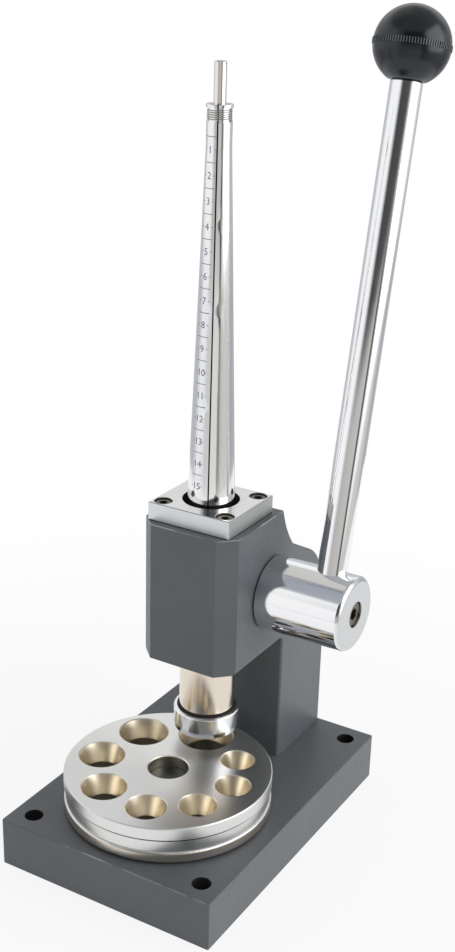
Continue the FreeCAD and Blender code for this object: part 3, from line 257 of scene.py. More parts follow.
def turned_steel(name, axis, face, tint, roughness, line_pitch, line_depth):
    """Steel turned on a lathe: rings round the axis on its faces, rings along it on its sides."""
    material, shader, place = finish_of(name, {"Metallic": 1.0})
    centred = add(material, "VectorMath", {0: place, 1: axis}, operation="SUBTRACT")
    split = add(material, "SeparateXYZ", {"Vector": centred.outputs[0]})
    flat = add(material, "CombineXYZ", {"X": split.outputs["X"], "Y": split.outputs["Y"]})
    reach = add(material, "VectorMath", {0: flat.outputs[0]}, operation="LENGTH")
    rings = add(material, "CombineXYZ", {"X": reach.outputs["Value"], "Y": split.outputs["Z"]})
    lines = add(material, "TexNoise", {"Vector": rings.outputs[0], "Scale": 1 / line_pitch,
                                       "Detail": 2.0})
    cloud = add(material, "TexNoise", {"Vector": place, "Scale": 45.0, "Detail": 2.0})
    tone = add(material, "Mix", {"Factor": cloud.outputs["Fac"], 6: linear(face),
                                 7: linear(tint)}, data_type="RGBA")
    sheen = add(material, "MapRange", {"Value": lines.outputs["Fac"], "From Min": 0.3,
                                       "From Max": 0.7, "To Min": roughness * 0.9,
                                       "To Max": roughness * 1.1})
    bump = add(material, "Bump", {"Height": lines.outputs["Fac"], "Strength": 0.5,
                                  "Distance": line_depth})
    grain = add(material, "VectorMath", {0: (0, 0, 1), 1: flat.outputs[0]},
                operation="CROSS_PRODUCT")
    shader.inputs["Anisotropic"].default_value = 0.5
    dress(material, shader, tone.outputs[2], sheen.outputs[0], bump)
    material.node_tree.links.new(grain.outputs[0], shader.inputs["Tangent"])
    return material, shader, split, reach, tone, sheen


material, shader, split, reach, tone, sheen = turned_steel(
    "turned tool steel, straw tempered in the dies", DIE_AXIS, "#DFDFDE", "#E8E8E6", 0.32,
    0.00015, 0.0000003)
below = add(material, "Math", {0: split.outputs["Z"], 1: DIE_TOP - SKIN},
            operation="LESS_THAN")
# The lower band is tinted warm: a painted reflection.
foot = add(material, "Math", {0: split.outputs["Z"], 1: DIE_FOOT_REFLECTION_TOP}, operation="LESS_THAN")
straw_tint_and_painted_light = add(material, "Mix", {"Factor": foot.outputs[0], 6: tone.outputs[2],
                              7: linear("#E0D8CC")}, data_type="RGBA")
# Inside the groove's reach and below the top the steel is painted near black as shade in the
# groove; the dies then take the straw tint.
for within, colour in ((GROOVE_SHADE_REACH, "#3C3834"), (DIES_REACH, "#F2E8D4")):
    inside = add(material, "Math", {0: reach.outputs["Value"], 1: within},
                 operation="LESS_THAN")
    bored = add(material, "Math", {0: inside.outputs[0], 1: below.outputs[0]},
                operation="MULTIPLY")
    straw_tint_and_painted_light = add(material, "Mix", {"Factor": bored.outputs[0], 6: straw_tint_and_painted_light.outputs[2],
                                  7: linear(colour)}, data_type="RGBA")
lapped = add(material, "Mix", {"Factor": bored.outputs[0], 2: sheen.outputs[0], 3: 0.3})
dress(material, shader, straw_tint_and_painted_light.outputs[2], lapped.outputs[0])
coat(material, "die_plate")
# The pivot's steel is painted dark grey: painted shade at the floor of the bore.
coat(turned_steel("ground pivot steel, painted dark with shade", DIE_AXIS, "#4E5356", "#5C6061", 0.36, 0.0005,
                  0.000003)[0], "die_pivot")
coat(turned_steel("turned bronze", DIE_AXIS, "#B98D55", "#C79A60", 0.3, 0.0005, 0.000003)[0],
     "die_washer", "ram_bush_lower", "ram_bush_upper", "shaft_bush_right", "shaft_bush_left")


# Ram and pusher cup: the ram is a ground and polished steel bar, a little warm in tone, that
# slides in two bronze bushes. The cup is turned and chromed, and pushed over the ram's foot,
# where a black rubber ring grips it.

RAM_AXIS = (0.0, 0.008, 0.0)
FACED_BAND = 0.0024


def polished(name, face, tint, roughness, spread, scratch, faced=None):
    """Polished or plated metal with a trace of uneven lustre, duller in a band up to X = faced."""
    material, shader, place = finish_of(name, {"Metallic": 1.0})
    cloud = add(material, "TexNoise", {"Vector": place, "Scale": 60.0, "Detail": 3.0})
    tone = add(material, "Mix", {"Factor": cloud.outputs["Fac"], 6: linear(face),
                                 7: linear(tint)}, data_type="RGBA")
    sheen = add(material, "MapRange", {"Value": cloud.outputs["Fac"], "From Min": 0.3,
                                       "From Max": 0.7, "To Min": roughness,
                                       "To Max": roughness + spread})
    ripple = add(material, "TexNoise", {"Vector": place, "Scale": 150.0, "Detail": 1.0})
    bump = add(material, "Bump", {"Height": ripple.outputs["Fac"], "Strength": 0.3,
                                  "Distance": scratch})
    colour, lustre = tone.outputs[2], sheen.outputs[0]
    if faced:
        across = add(material, "SeparateXYZ", {"Vector": place}).outputs["X"]
        end = add(material, "MapRange", {"Value": across, "From Min": faced - FACED_BAND,
                                         "From Max": faced}).outputs[0]
        colour = add(material, "Mix", {"Factor": end, 6: colour, 7: linear("#D2D4D5")},
                     data_type="RGBA").outputs[2]
        lustre = add(material, "Mix", {"Factor": end, 2: lustre, 3: 0.28}).outputs[0]
    dress(material, shader, colour, lustre, bump)
    return material


coat(polished("polished ram steel", "#E3D8CA", "#EAE0D3", 0.15, 0.06, 0.00001), "ram")
coat(polished("chrome plate on the cup", "#EEEFF1", "#F4F4F5", 0.17, 0.05, 0.000006),
     "pusher_cup")


# The rubber is matt, with a bloom that greys it a little.
nitrile = grained("black nitrile rubber", {"Specular IOR Level": 0.35}, 400.0, 3.0, "#141414",
                  "#24231F", 0.5, 0.75)


def made(name, bm, material):
    """Turns a finished bmesh into an object with one material."""
    mesh = bpy.data.meshes.new(name)
    bm.to_mesh(mesh)
    bm.free()
    piece = bpy.data.objects.new(name, mesh)
    bpy.context.scene.collection.objects.link(piece)
    mesh.materials.append(material)
    return piece


def smooth(piece, angle=40.0):
    """Shades a piece smooth, with creases where its faces meet at more than the angle."""
    piece.data.shade_smooth()
    piece.data.set_sharp_from_angle(angle=math.radians(angle))


def ring_section(bm, radius, section, height, sides=16):
    """A round section standing in the XZ plane at that radius from the Z axis."""
    verts = bmesh.ops.create_circle(bm, segments=sides, radius=section)["verts"]
    bmesh.ops.rotate(bm, verts=verts, cent=(0, 0, 0),
                     matrix=Matrix.Rotation(math.radians(90), 3, "X"))
    bmesh.ops.translate(bm, verts=verts, vec=(radius, 0, height))
    return verts, list({edge for vert in verts for edge in vert.link_edges})


def rubber_ring(low, high, steps=96):
    """A moulded ring that fills the box of the CAD ring it stands for."""
    section = (high.z - low.z) / 2
    bm = bmesh.new()
    verts, edges = ring_section(bm, (high.x - low.x) / 2 - section, section,
                                (high.z + low.z) / 2)
    bmesh.ops.spin(bm, geom=verts + edges, cent=(0, 0, 0), axis=(0, 0, 1), dvec=(0, 0, 0),
                   angle=2 * math.pi, steps=steps, use_merge=True, use_duplicate=False)
    bmesh.ops.remove_doubles(bm, verts=bm.verts, dist=1e-6)
    bmesh.ops.translate(bm, verts=bm.verts, vec=RAM_AXIS)
    bmesh.ops.recalc_face_normals(bm, faces=bm.faces)
    return bm


cup_ring = made("cup_rubber_ring", rubber_ring(*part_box("cup_ring")), nitrile)
smooth(cup_ring, 60)
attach(cup_ring, "ram")
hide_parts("cup_ring")


# Pinion shaft: ground steel with the teeth cut in it, turning in two bronze bushes. A key
# drives it from the hub, and a washer and a retaining ring hold its free end.

coat(polished("ground shaft steel", "#B9B8B4", "#C4C3BF", 0.2, 0.08, 0.00001),
     "pinion_shaft", "shaft_key", "shaft_washer")


# Hub and lever: the hub is a heavy turned cylinder keyed to the shaft and held by a socket
# screw in its end, and the lever is a bright bar let into its side. Both are chromed over a
# mirror polish, so they show the room in long clean stripes.

HUB_END = 0.0778
coat(polished("bright chrome plate on the hub", "#F0F1F3", "#F4F4F5", 0.06, 0.05, 0.00001,
              faced=HUB_END - SKIN), "lever_hub")
coat(polished("bright chrome plate on the lever", "#F0F1F3", "#F4F4F5", 0.06, 0.05, 0.00001),
     "lever_rod")


# Ball knob: moulded in black phenolic round a brass insert and screwed on the lever. A narrow
# band of upright ribs runs round its middle to hide the mould's parting line, and its foot is
# cut flat where the lever enters.

coat(grained("machined brass", {"Metallic": 1.0}, 700.0, 2.0, "#C9A55C", "#D9B872", 0.18, 0.32),
     "knob_insert")

KNOB_PLACE = Vector((0.0613, 0.0254, 0.1378))
LEVER_TILT = math.radians(-11.9)
KNOB_DISTANCE = 0.2824
KNOB_RADIUS = 0.0191
KNOB_RIB_RADIUS = 0.0195
KNOB_BAND = 0.003
KNOB_FLAT = 0.0094
KNOB_BORE = 0.0062
KNOB_BORE_DEPTH = 0.018
KNOB_RIBS = 90
KNOB_RIB_DRAFT = 0.00016
KNOB_FOOT_EDGE = 0.0004
KNOB_FOOT_ROUND = 0.02
KNOB_STEPS = 14
KNOB_CENTRE = KNOB_PLACE + Matrix.Rotation(LEVER_TILT, 3, "X") @ Vector((0, 0, KNOB_DISTANCE))


def phenolic():
    """Moulded phenolic: deep black and glossy, with a faint flow in its lustre.
    Its bluish specular tint is a painted reflection, and its grey rib tops are painted highlights.
    """
    # The bluish specular tint is a painted reflection.
    material, shader, place = finish_of("black moulded phenolic", {
        "IOR": 1.56, "Specular Tint": linear("#E4EDF6")})
    flow = add(material, "TexNoise", {"Vector": place, "Scale": 70.0, "Detail": 4.0,
                                      "Distortion": 0.6})
    tone = add(material, "Mix", {"Factor": flow.outputs["Fac"], 6: linear("#0E0E0F"),
                                 7: linear("#191918")}, data_type="RGBA")
    sheen = add(material, "MapRange", {"Value": flow.outputs["Fac"], "To Min": 0.16,
                                       "To Max": 0.26})
    bump = add(material, "Bump", {"Height": flow.outputs["Fac"], "Strength": 0.2,
                                  "Distance": 0.00004})
    # The rib tops are painted grey: painted highlights on the ribs.
    reach = add(material, "VectorMath", {0: place, 1: KNOB_CENTRE}, operation="DISTANCE")
    rib = add(material, "MapRange", {"Value": reach.outputs["Value"],
                                     "From Min": KNOB_RADIUS + SKIN,
                                     "From Max": KNOB_RIB_RADIUS - SKIN / 2})
    painted_rib_highlight = add(material, "Mix", {"Factor": rib.outputs[0], 6: tone.outputs[2],
                                   7: linear("#6A6E72")}, data_type="RGBA")
    dulled = add(material, "Mix", {"Factor": rib.outputs[0], 2: sheen.outputs[0], 3: 0.45})
    dress(material, shader, painted_rib_highlight.outputs[2], dulled.outputs[0], bump)
    return material


def knob():
    """The knob's half outline spun round its axis, then every other face of the band raised."""
    bm = bmesh.new()
    foot = -math.sqrt(KNOB_RADIUS ** 2 - KNOB_FLAT ** 2)
    low = math.asin(foot / KNOB_RADIUS)
    band = math.asin(KNOB_BAND / 2 / KNOB_RADIUS)
    points = [(0.0, foot + KNOB_BORE_DEPTH), (KNOB_BORE, foot + KNOB_BORE_DEPTH),
              (KNOB_BORE, foot), (KNOB_FLAT - KNOB_FOOT_EDGE, foot)]
    for first, last in ((low + KNOB_FOOT_ROUND, -band), (band, math.pi / 2)):
        for i in range(KNOB_STEPS + 1):
            turn = first + (last - first) * i / KNOB_STEPS
            points.append((KNOB_RADIUS * math.cos(turn), KNOB_RADIUS * math.sin(turn)))
    verts = [bm.verts.new((x, 0, z)) for x, z in points]
    edges = [bm.edges.new(pair) for pair in zip(verts, verts[1:])]
    bmesh.ops.spin(bm, geom=verts + edges, cent=(0, 0, 0), axis=(0, 0, 1), dvec=(0, 0, 0),
                   angle=2 * math.pi, steps=2 * KNOB_RIBS, use_merge=True, use_duplicate=False)
    bmesh.ops.remove_doubles(bm, verts=bm.verts, dist=1e-6)
    bmesh.ops.recalc_face_normals(bm, faces=bm.faces)
    ribs = []
    for face in bm.faces:
        spot = face.calc_center_median()
        if abs(spot.z) < KNOB_BAND / 4 and spot.xy.length > KNOB_RADIUS * 0.9:
            step = math.atan2(spot.y, spot.x) / (math.pi / KNOB_RIBS)
            if math.floor(step) % 2 == 0:
                ribs.append(face)
    bmesh.ops.inset_individual(bm, faces=ribs, thickness=KNOB_RIB_DRAFT,
                               depth=KNOB_RIB_RADIUS - KNOB_RADIUS)
    bmesh.ops.translate(bm, verts=bm.verts, vec=(0, 0, KNOB_DISTANCE))
    bmesh.ops.rotate(bm, verts=bm.verts, cent=(0, 0, 0),
                     matrix=Matrix.Rotation(LEVER_TILT, 3, "X"))
    bmesh.ops.translate(bm, verts=bm.verts, vec=KNOB_PLACE)
    return bm


ball = made("ribbed_ball_knob", knob(), phenolic())
smooth(ball, 30)
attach(ball, "lever")
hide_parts("ball_knob")


# Top plate: a square of bright steel, ground on its faces, that closes the head round the
# mandrel's foot. Four recessed socket screws hold it. Painted shade darkens the foot of its sides,
# its holes and counterbores, and its right side.

PLATE_TOP = 0.1904
PLATE_HALF_WIDTH = 0.0242
PLATE_HALF_DEPTH = 0.0220
JOINT_SHADE_TOP = HEAD_TOP + 0.0005


def ground_steel():
    """Surface ground steel: straight fine grinding marks along Y, drawn 0.6 mm apart to show."""
    material, shader, place = finish_of("ground bright steel", {"Metallic": 1.0})
    drawn = add(material, "Mapping", {"Vector": place, "Scale": (1.0, 0.04, 1.0)})
    lines = add(material, "TexNoise", {"Vector": drawn.outputs[0], "Scale": 1600.0,
                                       "Detail": 2.0})
    cloud = add(material, "TexNoise", {"Vector": place, "Scale": 90.0, "Detail": 3.0})
    tone = add(material, "Mix", {"Factor": cloud.outputs["Fac"], 6: linear("#DEDEDC"),
                                 7: linear("#E8E8E6")}, data_type="RGBA")
    sheen = add(material, "MapRange", {"Value": lines.outputs["Fac"], "From Min": 0.3,
                                       "From Max": 0.7, "To Min": 0.16, "To Max": 0.28})
    bump = add(material, "Bump", {"Height": lines.outputs["Fac"], "Strength": 0.4,
                                  "Distance": 0.000006})
    split = add(material, "SeparateXYZ", {"Vector": place})
    # Inside the plate's outline and below its top, in the holes and counterbores, it is painted
    # dark: painted shade.
    across = add(material, "Math", {0: split.outputs["X"]}, operation="ABSOLUTE")
    along = add(material, "Math", {0: split.outputs["Y"], 1: RAM_AXIS[1]}, operation="SUBTRACT")
    along = add(material, "Math", {0: along.outputs[0]}, operation="ABSOLUTE")
    along = add(material, "Math", {0: along.outputs[0], 1: PLATE_HALF_WIDTH -
                                   PLATE_HALF_DEPTH}, operation="ADD")
    out = add(material, "Math", {0: across.outputs[0], 1: along.outputs[0]},
              operation="MAXIMUM")
    out = add(material, "Math", {0: out.outputs[0], 1: PLATE_HALF_WIDTH - SKIN},
              operation="GREATER_THAN")
    # The right side is painted darker than the other sides: painted shade.
    right = add(material, "Math", {0: split.outputs["X"], 1: PLATE_HALF_WIDTH - SKIN},
                operation="GREATER_THAN")
    side = add(material, "Math", {0: split.outputs["Z"], 1: PLATE_TOP - 2 * SKIN},
               operation="LESS_THAN").outputs[0]
    # The foot of the sides, within 0.5 mm of the head, is painted dark: painted shade at the
    # joint.
    foot = add(material, "Math", {0: split.outputs["Z"], 1: JOINT_SHADE_TOP},
               operation="LESS_THAN")
    painted_shade = linear("#62635A")
    sides_and_painted_shade = add(material, "Mix", {"Factor": right.outputs[0], 6: linear("#E6E9EC"),
                                   7: linear("#BEBFBE")}, data_type="RGBA")
    sides_and_painted_shade = add(material, "Mix", {"Factor": foot.outputs[0], 6: sides_and_painted_shade.outputs[2], 7: painted_shade},
                 data_type="RGBA")
    sides_and_painted_shade = add(material, "Mix", {"Factor": out.outputs[0], 6: painted_shade, 7: sides_and_painted_shade.outputs[2]},
                 data_type="RGBA")
    sides_and_painted_shade = add(material, "Mix", {"Factor": side, 6: tone.outputs[2], 7: sides_and_painted_shade.outputs[2]},
                 data_type="RGBA")
    duller = add(material, "Mix", {"Factor": side, 2: sheen.outputs[0], 3: 0.5})
    dress(material, shader, sides_and_painted_shade.outputs[2], duller.outputs[0], bump)
    return material


coat(ground_steel(), "top_plate")


# Mandrel: a tapered sleeve of hardened steel, chromed, and slit into four leaves that spread
# when the expander rod is drawn down. The front leaf carries a scale of ring sizes 1 to 15,
# etched and filled with dark ink: a line across between sizes, and the number between two ticks.

SLIT_ANGLE = math.radians(24 - 90)
SLIT_SHADE = 0.00036


def chromed_leaf():
    """Hard chrome drawn along the taper in fine streaks 0.5 mm apart, with painted shade at the
    slits.
    """
    material, shader, place = finish_of("hard chrome on the mandrel's leaves", {"Metallic": 1.0})
    turned = add(material, "Mapping", {"Vector": place, "Rotation": (0, 0, SLIT_ANGLE),
                                       "Location": RAM_AXIS}, vector_type="TEXTURE")
    split = add(material, "SeparateXYZ", {"Vector": turned.outputs[0]})
    one = add(material, "Math", {0: split.outputs["X"]}, operation="ABSOLUTE")
    other = add(material, "Math", {0: split.outputs["Y"]}, operation="ABSOLUTE")
    near = add(material, "Math", {0: one.outputs[0], 1: other.outputs[0]}, operation="MINIMUM")
    # Within 0.36 mm of a slit's plane the leaf is painted near black: painted shade in and beside
    # the slits.
    dark = add(material, "Math", {0: near.outputs[0], 1: SLIT_SHADE},
               operation="LESS_THAN")
    drawn = add(material, "Mapping", {"Vector": place, "Scale": (1.0, 1.0, 0.02)})
    streak = add(material, "TexNoise", {"Vector": drawn.outputs[0], "Scale": 2000.0,
                                        "Detail": 2.0})
    tone = add(material, "Mix", {"Factor": streak.outputs["Fac"], 6: linear("#E8E8EA"),
                                 7: linear("#F6F6F6")}, data_type="RGBA")
    shown = add(material, "Mix", {"Factor": dark.outputs[0], 6: tone.outputs[2],
                                  7: linear("#1C1A18")}, data_type="RGBA")
    sheen = add(material, "MapRange", {"Value": streak.outputs["Fac"], "From Min": 0.3,
                                       "From Max": 0.7, "To Min": 0.06, "To Max": 0.13})
    dull = add(material, "Mix", {"Factor": dark.outputs[0], 2: sheen.outputs[0], 3: 0.7})
    bump = add(material, "Bump", {"Height": streak.outputs["Fac"], "Strength": 0.3,
                                  "Distance": 0.000004})
    dress(material, shader, shown.outputs[2], dull.outputs[0], bump)
    return material


coat(chromed_leaf(), "mandrel_segment_right", "mandrel_segment_back",
     "mandrel_segment_left", "mandrel_segment_front")

SIZES = range(1, 16)
SIZE_ONE_HEIGHT = 0.3677
SIZE_ONE_RADIUS = 0.00622
SIZE_FIFTEEN_RADIUS = 0.01191
SCALE_LENGTH = 0.1669
SIZE_STEP = SCALE_LENGTH / 14
RADIUS_STEP = (SIZE_FIFTEEN_RADIUS - SIZE_ONE_RADIUS) / 14
MANDREL_HEAD_RADIUS = 0.0062
SCALE_AZIMUTH = math.radians(-90 - 9)
SCALE_WIDTH = 0.0061
LINE_WIDTH = 0.00032
TICK_LENGTH = 0.0008
NUMBER_HEIGHT = 0.0034
TYPE_HEIGHT_SHARE = 0.69
INK_RISE = 0.00004
BEND_STEP = 0.00035


def scale_ink():
    """Dark etching ink: matt grey violet, uneven where the etching is shallow."""
    material, shader, place = finish_of("dark etching ink", {"Roughness": 0.6})
    grain = add(material, "TexNoise", {"Vector": place, "Scale": 2500.0, "Detail": 2.0})
    tone = add(material, "Mix", {"Factor": grain.outputs["Fac"], 6: linear("#767286"),
                                 7: linear("#908CA2")}, data_type="RGBA")
    material.node_tree.links.new(tone.outputs[2], shader.inputs["Base Color"])
    return material


def bar(bm, width, height, across, up):
    """A flat bar drawn in the XY plane, centred at (across, up)."""
    square = bmesh.ops.create_grid(bm, x_segments=1, y_segments=1, size=0.5)["verts"]
    bmesh.ops.scale(bm, verts=square, vec=(width, height, 1))
    bmesh.ops.translate(bm, verts=square, vec=(across, up, 0))


def drawn_number(bm, number, up):
    """The number's flat shape, from plain type, centred at that height."""
    curve = bpy.data.curves.new("number", "FONT")
    curve.body = str(number)
    curve.align_x = "CENTER"
    curve.size = NUMBER_HEIGHT / TYPE_HEIGHT_SHARE
    curve.resolution_u = 3
    holder = bpy.data.objects.new("number", curve)
    bpy.context.scene.collection.objects.link(holder)
    bpy.context.view_layer.update()
    flat = bpy.data.meshes.new_from_object(holder)
    bpy.data.objects.remove(holder)
    flat.transform(Matrix.Translation((0, up - NUMBER_HEIGHT / 2, 0)))
    bm.from_mesh(flat)
    bpy.data.meshes.remove(flat)


bm = bmesh.new()
for size in SIZES:
    up = -(size - 1) * SIZE_STEP
    bar(bm, SCALE_WIDTH, LINE_WIDTH, 0, up + SIZE_STEP / 2)
    for side in (-1, 1):
        bar(bm, TICK_LENGTH, LINE_WIDTH, side * (SCALE_WIDTH - TICK_LENGTH) / 2, up)
    drawn_number(bm, size, up)
cut = -SCALE_WIDTH / 2
while cut < SCALE_WIDTH / 2:
    bmesh.ops.bisect_plane(bm, geom=bm.verts[:] + bm.edges[:] + bm.faces[:], dist=1e-7,
                           plane_co=(cut, 0, 0), plane_no=(1, 0, 0))
    cut += BEND_STEP
bmesh.ops.solidify(bm, geom=bm.faces[:], thickness=2 * INK_RISE)
bmesh.ops.recalc_face_normals(bm, faces=bm.faces)
for vert in bm.verts:
    across, up, out = vert.co
    lift = INK_RISE if out > -INK_RISE else -INK_RISE
    radius = max(SIZE_ONE_RADIUS - up / SIZE_STEP * RADIUS_STEP, MANDREL_HEAD_RADIUS)
    turn = SCALE_AZIMUTH + across / radius
    vert.co = ((radius + lift) * math.cos(turn), RAM_AXIS[1] + (radius + lift) * math.sin(turn),
               SIZE_ONE_HEIGHT + up)
bmesh.ops.recalc_face_normals(bm, faces=bm.faces)
marks = made("size_scale_marks", bm, scale_ink())
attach(marks, "segment_front")


# Spring and foot ring: a coil of fine drawn wire lies in the groove under the mandrel's lip and
# a rubber ring round its foot, and both pull the leaves together. Each is drawn in eight arcs,
# two to a leaf, that meet over the slits.

WIRE = 0.00029
WIRE_PITCH = 0.00101
WIRE_TURNS = 5.5
LEAVES = ("right", "back", "left", "front")


def wound_spring(low, high):
    """Fine wire wound into the groove, from the CAD spring's lowest turn to its highest."""
    bm = bmesh.new()
    steps = 48
    verts, edges = ring_section(bm, (high.x - low.x) / 2 - WIRE, WIRE, low.z + WIRE, sides=10)
    bmesh.ops.spin(bm, geom=verts + edges, cent=(0, 0, 0), axis=(0, 0, 1),
                   dvec=(0, 0, WIRE_PITCH / steps), angle=2 * math.pi * WIRE_TURNS,
                   steps=int(steps * WIRE_TURNS), use_merge=False, use_duplicate=False)
    ends = [edge for edge in bm.edges if edge.is_boundary]
    bmesh.ops.holes_fill(bm, edges=ends, sides=0)
    bmesh.ops.translate(bm, verts=bm.verts, vec=RAM_AXIS)
    bmesh.ops.recalc_face_normals(bm, faces=bm.faces)
    return bm


def in_arcs(name, whole, node, material):
    """Cuts a ring into eight arcs, each named after the leaf it lies on."""
    axis = Vector(RAM_AXIS)
    for k, leaf in enumerate(LEAVES):
        for half in (0, 1):
            start = SLIT_ANGLE + math.pi / 2 * k + math.pi / 4 * half
            arc = whole.copy()
            for turn, way in ((start, -1), (start + math.pi / 4, 1)):
                across = Vector((-math.sin(turn), math.cos(turn), 0)) * way
                bmesh.ops.bisect_plane(arc, geom=arc.verts[:] + arc.edges[:] + arc.faces[:],
                                       dist=1e-8, plane_co=axis, plane_no=across,
                                       clear_outer=True)
            ends = [edge for edge in arc.edges if edge.is_boundary]
            bmesh.ops.holes_fill(arc, edges=ends, sides=0)
            bmesh.ops.recalc_face_normals(arc, faces=arc.faces)
            piece = made(f"{name}_{leaf}_{'ab'[half]}", arc, material)
            smooth(piece, 60)
            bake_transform(piece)
            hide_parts(node)
    whole.free()


wire_steel = grained("drawn spring wire", {"Metallic": 1.0}, 1500.0, 2.0, "#A8A6A2", "#C2C0BB",
                     0.22, 0.38)
in_arcs("mandrel_spring", wound_spring(*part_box("mandrel_spring")), "mandrel_spring", wire_steel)
in_arcs("foot_ring", rubber_ring(*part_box("mandrel_foot_ring")), "mandrel_foot_ring", nitrile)


# Expander rod: a plain ground rod that stands out of the mandrel. Two cones on it press the
# leaves apart, and a lock nut fixes it in the ram.

coat(polished("bright expander rod", "#E4E0DA", "#ECE8E2", 0.05, 0.03, 0.00001),
     "expander_rod")


# Studio: a white floor that runs into a white room, a pale tent of light round the object with
# a dark opening behind the camera, and one broad softbox on the lever's side.

CAMERA_TURN = math.radians(30.290)
CAMERA_RISE = math.radians(21.700)
CAMERA_ROLL = math.radians(1.628)
CAMERA_PLACE = (0.34213, -0.55549, 0.45953)
SENSOR_WIDTH = 36.0
SOFTBOX_PLACE = Vector((1.15, 0.25, 0.65))
SOFTBOX_AIM = Vector((0.0, 0.0, 0.12))
SOFTBOX_SIZE = 1.2
SOFTBOX_POWER = 7.5
FLOOR_RADIUS = 0.6

# These are in pixels of the photo's frame.
FRAME_WIDTH = 455
FRAME_HEIGHT = 952
FOCAL_LENGTH = 1378.102
CENTRE_ACROSS = 233.199
CENTRE_DOWN = 486.551

bm = bmesh.new()
bmesh.ops.create_circle(bm, cap_ends=True, segments=96, radius=FLOOR_RADIUS)
floor_mesh = bpy.data.meshes.new("studio_floor")
bm.to_mesh(floor_mesh)
bm.free()
floor = bpy.data.objects.new("studio_floor", floor_mesh)
bpy.context.scene.collection.objects.link(floor)
paper = bpy.data.materials.new("white studio paper")
paper.use_nodes = True
paper.node_tree.nodes.clear()
place = add(paper, "TexCoord").outputs["Object"]
away = add(paper, "VectorMath", {0: place}, operation="LENGTH")
plain = add(paper, "MapRange", {"Value": away.outputs["Value"], "From Min": 0.2,
                                "From Max": 0.45, "To Min": 0.87, "To Max": 1.0})
ray = add(paper, "LightPath")
seen = add(paper, "Math", {0: ray.outputs["Is Camera Ray"], 1: ray.outputs["Is Glossy Ray"]},
           operation="MAXIMUM")
seen = add(paper, "Math", {0: seen.outputs[0], 1: ray.outputs["Is Transmission Ray"]},
           operation="MAXIMUM")
share = add(paper, "Math", {0: seen.outputs[0], 1: plain.outputs[0]}, operation="MULTIPLY")
matt = add(paper, "BsdfDiffuse", {"Color": (0.92, 0.92, 0.92, 1)})
white = add(paper, "Emission", {"Color": (1, 1, 1, 1), "Strength": 1.0})
mixed = add(paper, "MixShader", {0: share.outputs[0], 1: matt.outputs[0], 2: white.outputs[0]})
add(paper, "OutputMaterial", {"Surface": mixed.outputs[0]})
floor_mesh.materials.append(paper)

tent = bpy.data.worlds.new("studio tent")
bpy.context.scene.world = tent
tent.use_nodes = True
tent.node_tree.nodes.clear()
way = add(tent, "TexCoord").outputs["Generated"]
height = add(tent, "SeparateXYZ", {"Vector": way}).outputs["Z"]
facing = add(tent, "VectorMath", {0: way, 1: (math.sin(CAMERA_TURN), -math.cos(CAMERA_TURN),
                                              0)}, operation="DOT_PRODUCT")
aside = add(tent, "VectorMath", {0: way, 1: (math.cos(CAMERA_TURN), math.sin(CAMERA_TURN), 0)},
            operation="DOT_PRODUCT")
turn = add(tent, "Math", {0: aside.outputs["Value"], 1: facing.outputs["Value"]},
           operation="ARCTAN2")
turn = add(tent, "MapRange", {"Value": turn.outputs[0], "From Min": -math.pi,
                              "From Max": math.pi})


def round_the_room(stops):
    """The room's colours at one level, by degrees round from the camera, right positive."""
    ramp = add(tent, "ValToRGB", {"Fac": turn.outputs[0]})
    held = ramp.color_ramp.elements
    held[0].color = linear(stops[0][1])
    held[1].color = linear(stops[-1][1])
    for degrees, colour in stops[1:-1]:
        held.new(degrees / 360 + 0.5).color = linear(colour)
    return ramp.outputs["Color"]


def by_height(below, above, start, end):
    """One level of the room passing into the next, between two angles above the horizon."""
    share = add(tent, "MapRange", {"Value": height, "From Min": math.sin(math.radians(start)),
                                   "From Max": math.sin(math.radians(end))},
                interpolation_type="SMOOTHSTEP")
    return add(tent, "Mix", {"Factor": share.outputs[0], 6: below, 7: above},
               data_type="RGBA").outputs[2]


table = round_the_room([(-180, "#C6C8CC"), (-110, "#BEC0C6"), (-80, "#F6F8FA"),
                        (-54, "#EEF0F3"), (-38, "#D2D2D2"), (-10, "#E6E4DF"), (20, "#E6E4DF"),
                        (26, "#85827E"), (32, "#918E8A"), (40, "#C2C2BE"), (55, "#D0D0CC"),
                        (88, "#D0D0CC"), (110, "#AEB0B4"), (180, "#C6C8CC")])
rim = round_the_room([(-180, "#BEC2C8"), (-130, "#C6CAD0"), (-110, "#FFFFFF"),
                      (-54, "#FFFFFF"), (-36, "#BCBAB8"), (0, "#C6C4C2"), (20, "#C8C6C2"),
                      (26, "#4A4743"), (32, "#5A5854"), (40, "#FFFFFF"), (100, "#FFFFFF"),
                      (122, "#C2C4C8"), (180, "#BEC2C8")])
walls = round_the_room([(-180, "#CED2D8"), (-130, "#DCE0E6"), (-105, "#FFFFFF"),
                        (-52, "#FFFFFF"), (-30, "#4A4A4C"), (8, "#4E4E50"), (22, "#5E5C5A"),
                        (44, "#FFFFFF"), (100, "#FFFFFF"), (128, "#CED0D4"), (180, "#CED2D8")])
hangings = round_the_room([(-180, "#FFFFFF"), (-60, "#FFFFFF"), (-32, "#3E3E40"),
                           (24, "#444446"), (50, "#FFFFFF"), (86, "#FFFFFF"),
                           (94, "#B4B8BE"), (122, "#B4B8BE"), (132, "#FFFFFF"),
                           (180, "#FFFFFF")])
room = by_height(table, rim, -12, -7)
room = by_height(room, walls, 3, 9)
room = by_height(room, hangings, 17, 24)
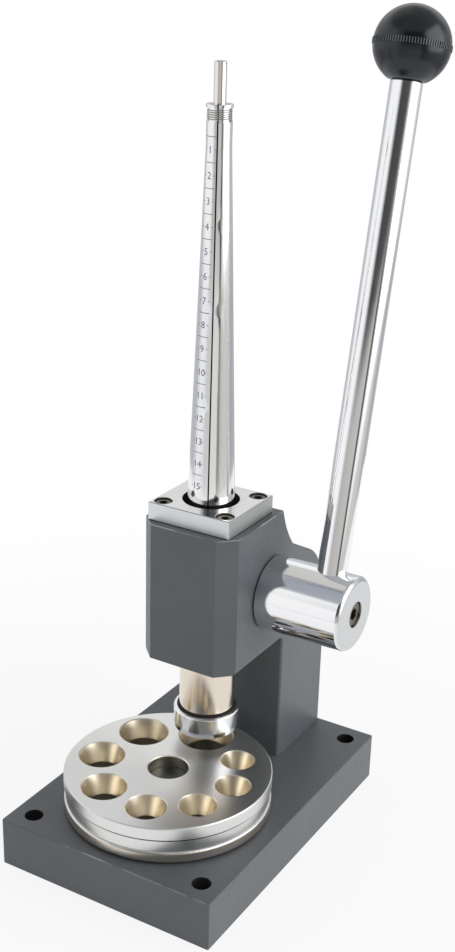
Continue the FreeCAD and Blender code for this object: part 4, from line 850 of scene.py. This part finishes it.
roof = round_the_room([(-180, "#D2D2CE"), (-112, "#CCCCC8"), (-106, "#70737A"),
                       (-98, "#A0A5B0"), (-70, "#A6ABB6"), (-50, "#B4B6B8"), (180, "#B4B6B8")])
room = by_height(room, roof, 36, 44)
ray = add(tent, "LightPath")
shown = add(tent, "Mix", {"Factor": ray.outputs["Is Camera Ray"], 6: room,
                          7: (1, 1, 1, 1)}, data_type="RGBA")
light = add(tent, "Background", {"Color": shown.outputs[2], "Strength": 1.0})
add(tent, "OutputWorld", {"Surface": light.outputs[0]})

softbox = bpy.data.lights.new("softbox", "AREA")
softbox.shape = "RECTANGLE"
softbox.size = SOFTBOX_SIZE
softbox.size_y = SOFTBOX_SIZE
softbox.energy = SOFTBOX_POWER
lamp = bpy.data.objects.new("softbox", softbox)
bpy.context.scene.collection.objects.link(lamp)
lamp.location = SOFTBOX_PLACE
lamp.rotation_euler = (SOFTBOX_PLACE - SOFTBOX_AIM).to_track_quat("Z", "Y").to_euler()

lens = bpy.data.cameras.new("photo_camera")
lens.sensor_fit = "AUTO"
lens.sensor_width = SENSOR_WIDTH
lens.lens = FOCAL_LENGTH / FRAME_HEIGHT * SENSOR_WIDTH
lens.shift_x = (FRAME_WIDTH / 2 - CENTRE_ACROSS) / FRAME_HEIGHT
lens.shift_y = (CENTRE_DOWN - FRAME_HEIGHT / 2) / FRAME_HEIGHT
lens.clip_start = 0.01
lens.clip_end = 50.0
camera = bpy.data.objects.new("photo_camera", lens)
bpy.context.scene.collection.objects.link(camera)
back = Vector((math.sin(CAMERA_TURN) * math.cos(CAMERA_RISE),
               -math.cos(CAMERA_TURN) * math.cos(CAMERA_RISE), math.sin(CAMERA_RISE)))
right = Vector((math.cos(CAMERA_TURN), math.sin(CAMERA_TURN), 0))
top = back.cross(right)
side = math.cos(CAMERA_ROLL) * right + math.sin(CAMERA_ROLL) * top
upward = -math.sin(CAMERA_ROLL) * right + math.cos(CAMERA_ROLL) * top
camera.matrix_world = Matrix((side, upward, back)).transposed().to_4x4()
camera.location = CAMERA_PLACE
bpy.context.scene.camera = camera
bpy.context.scene.view_settings.view_transform = "Standard"
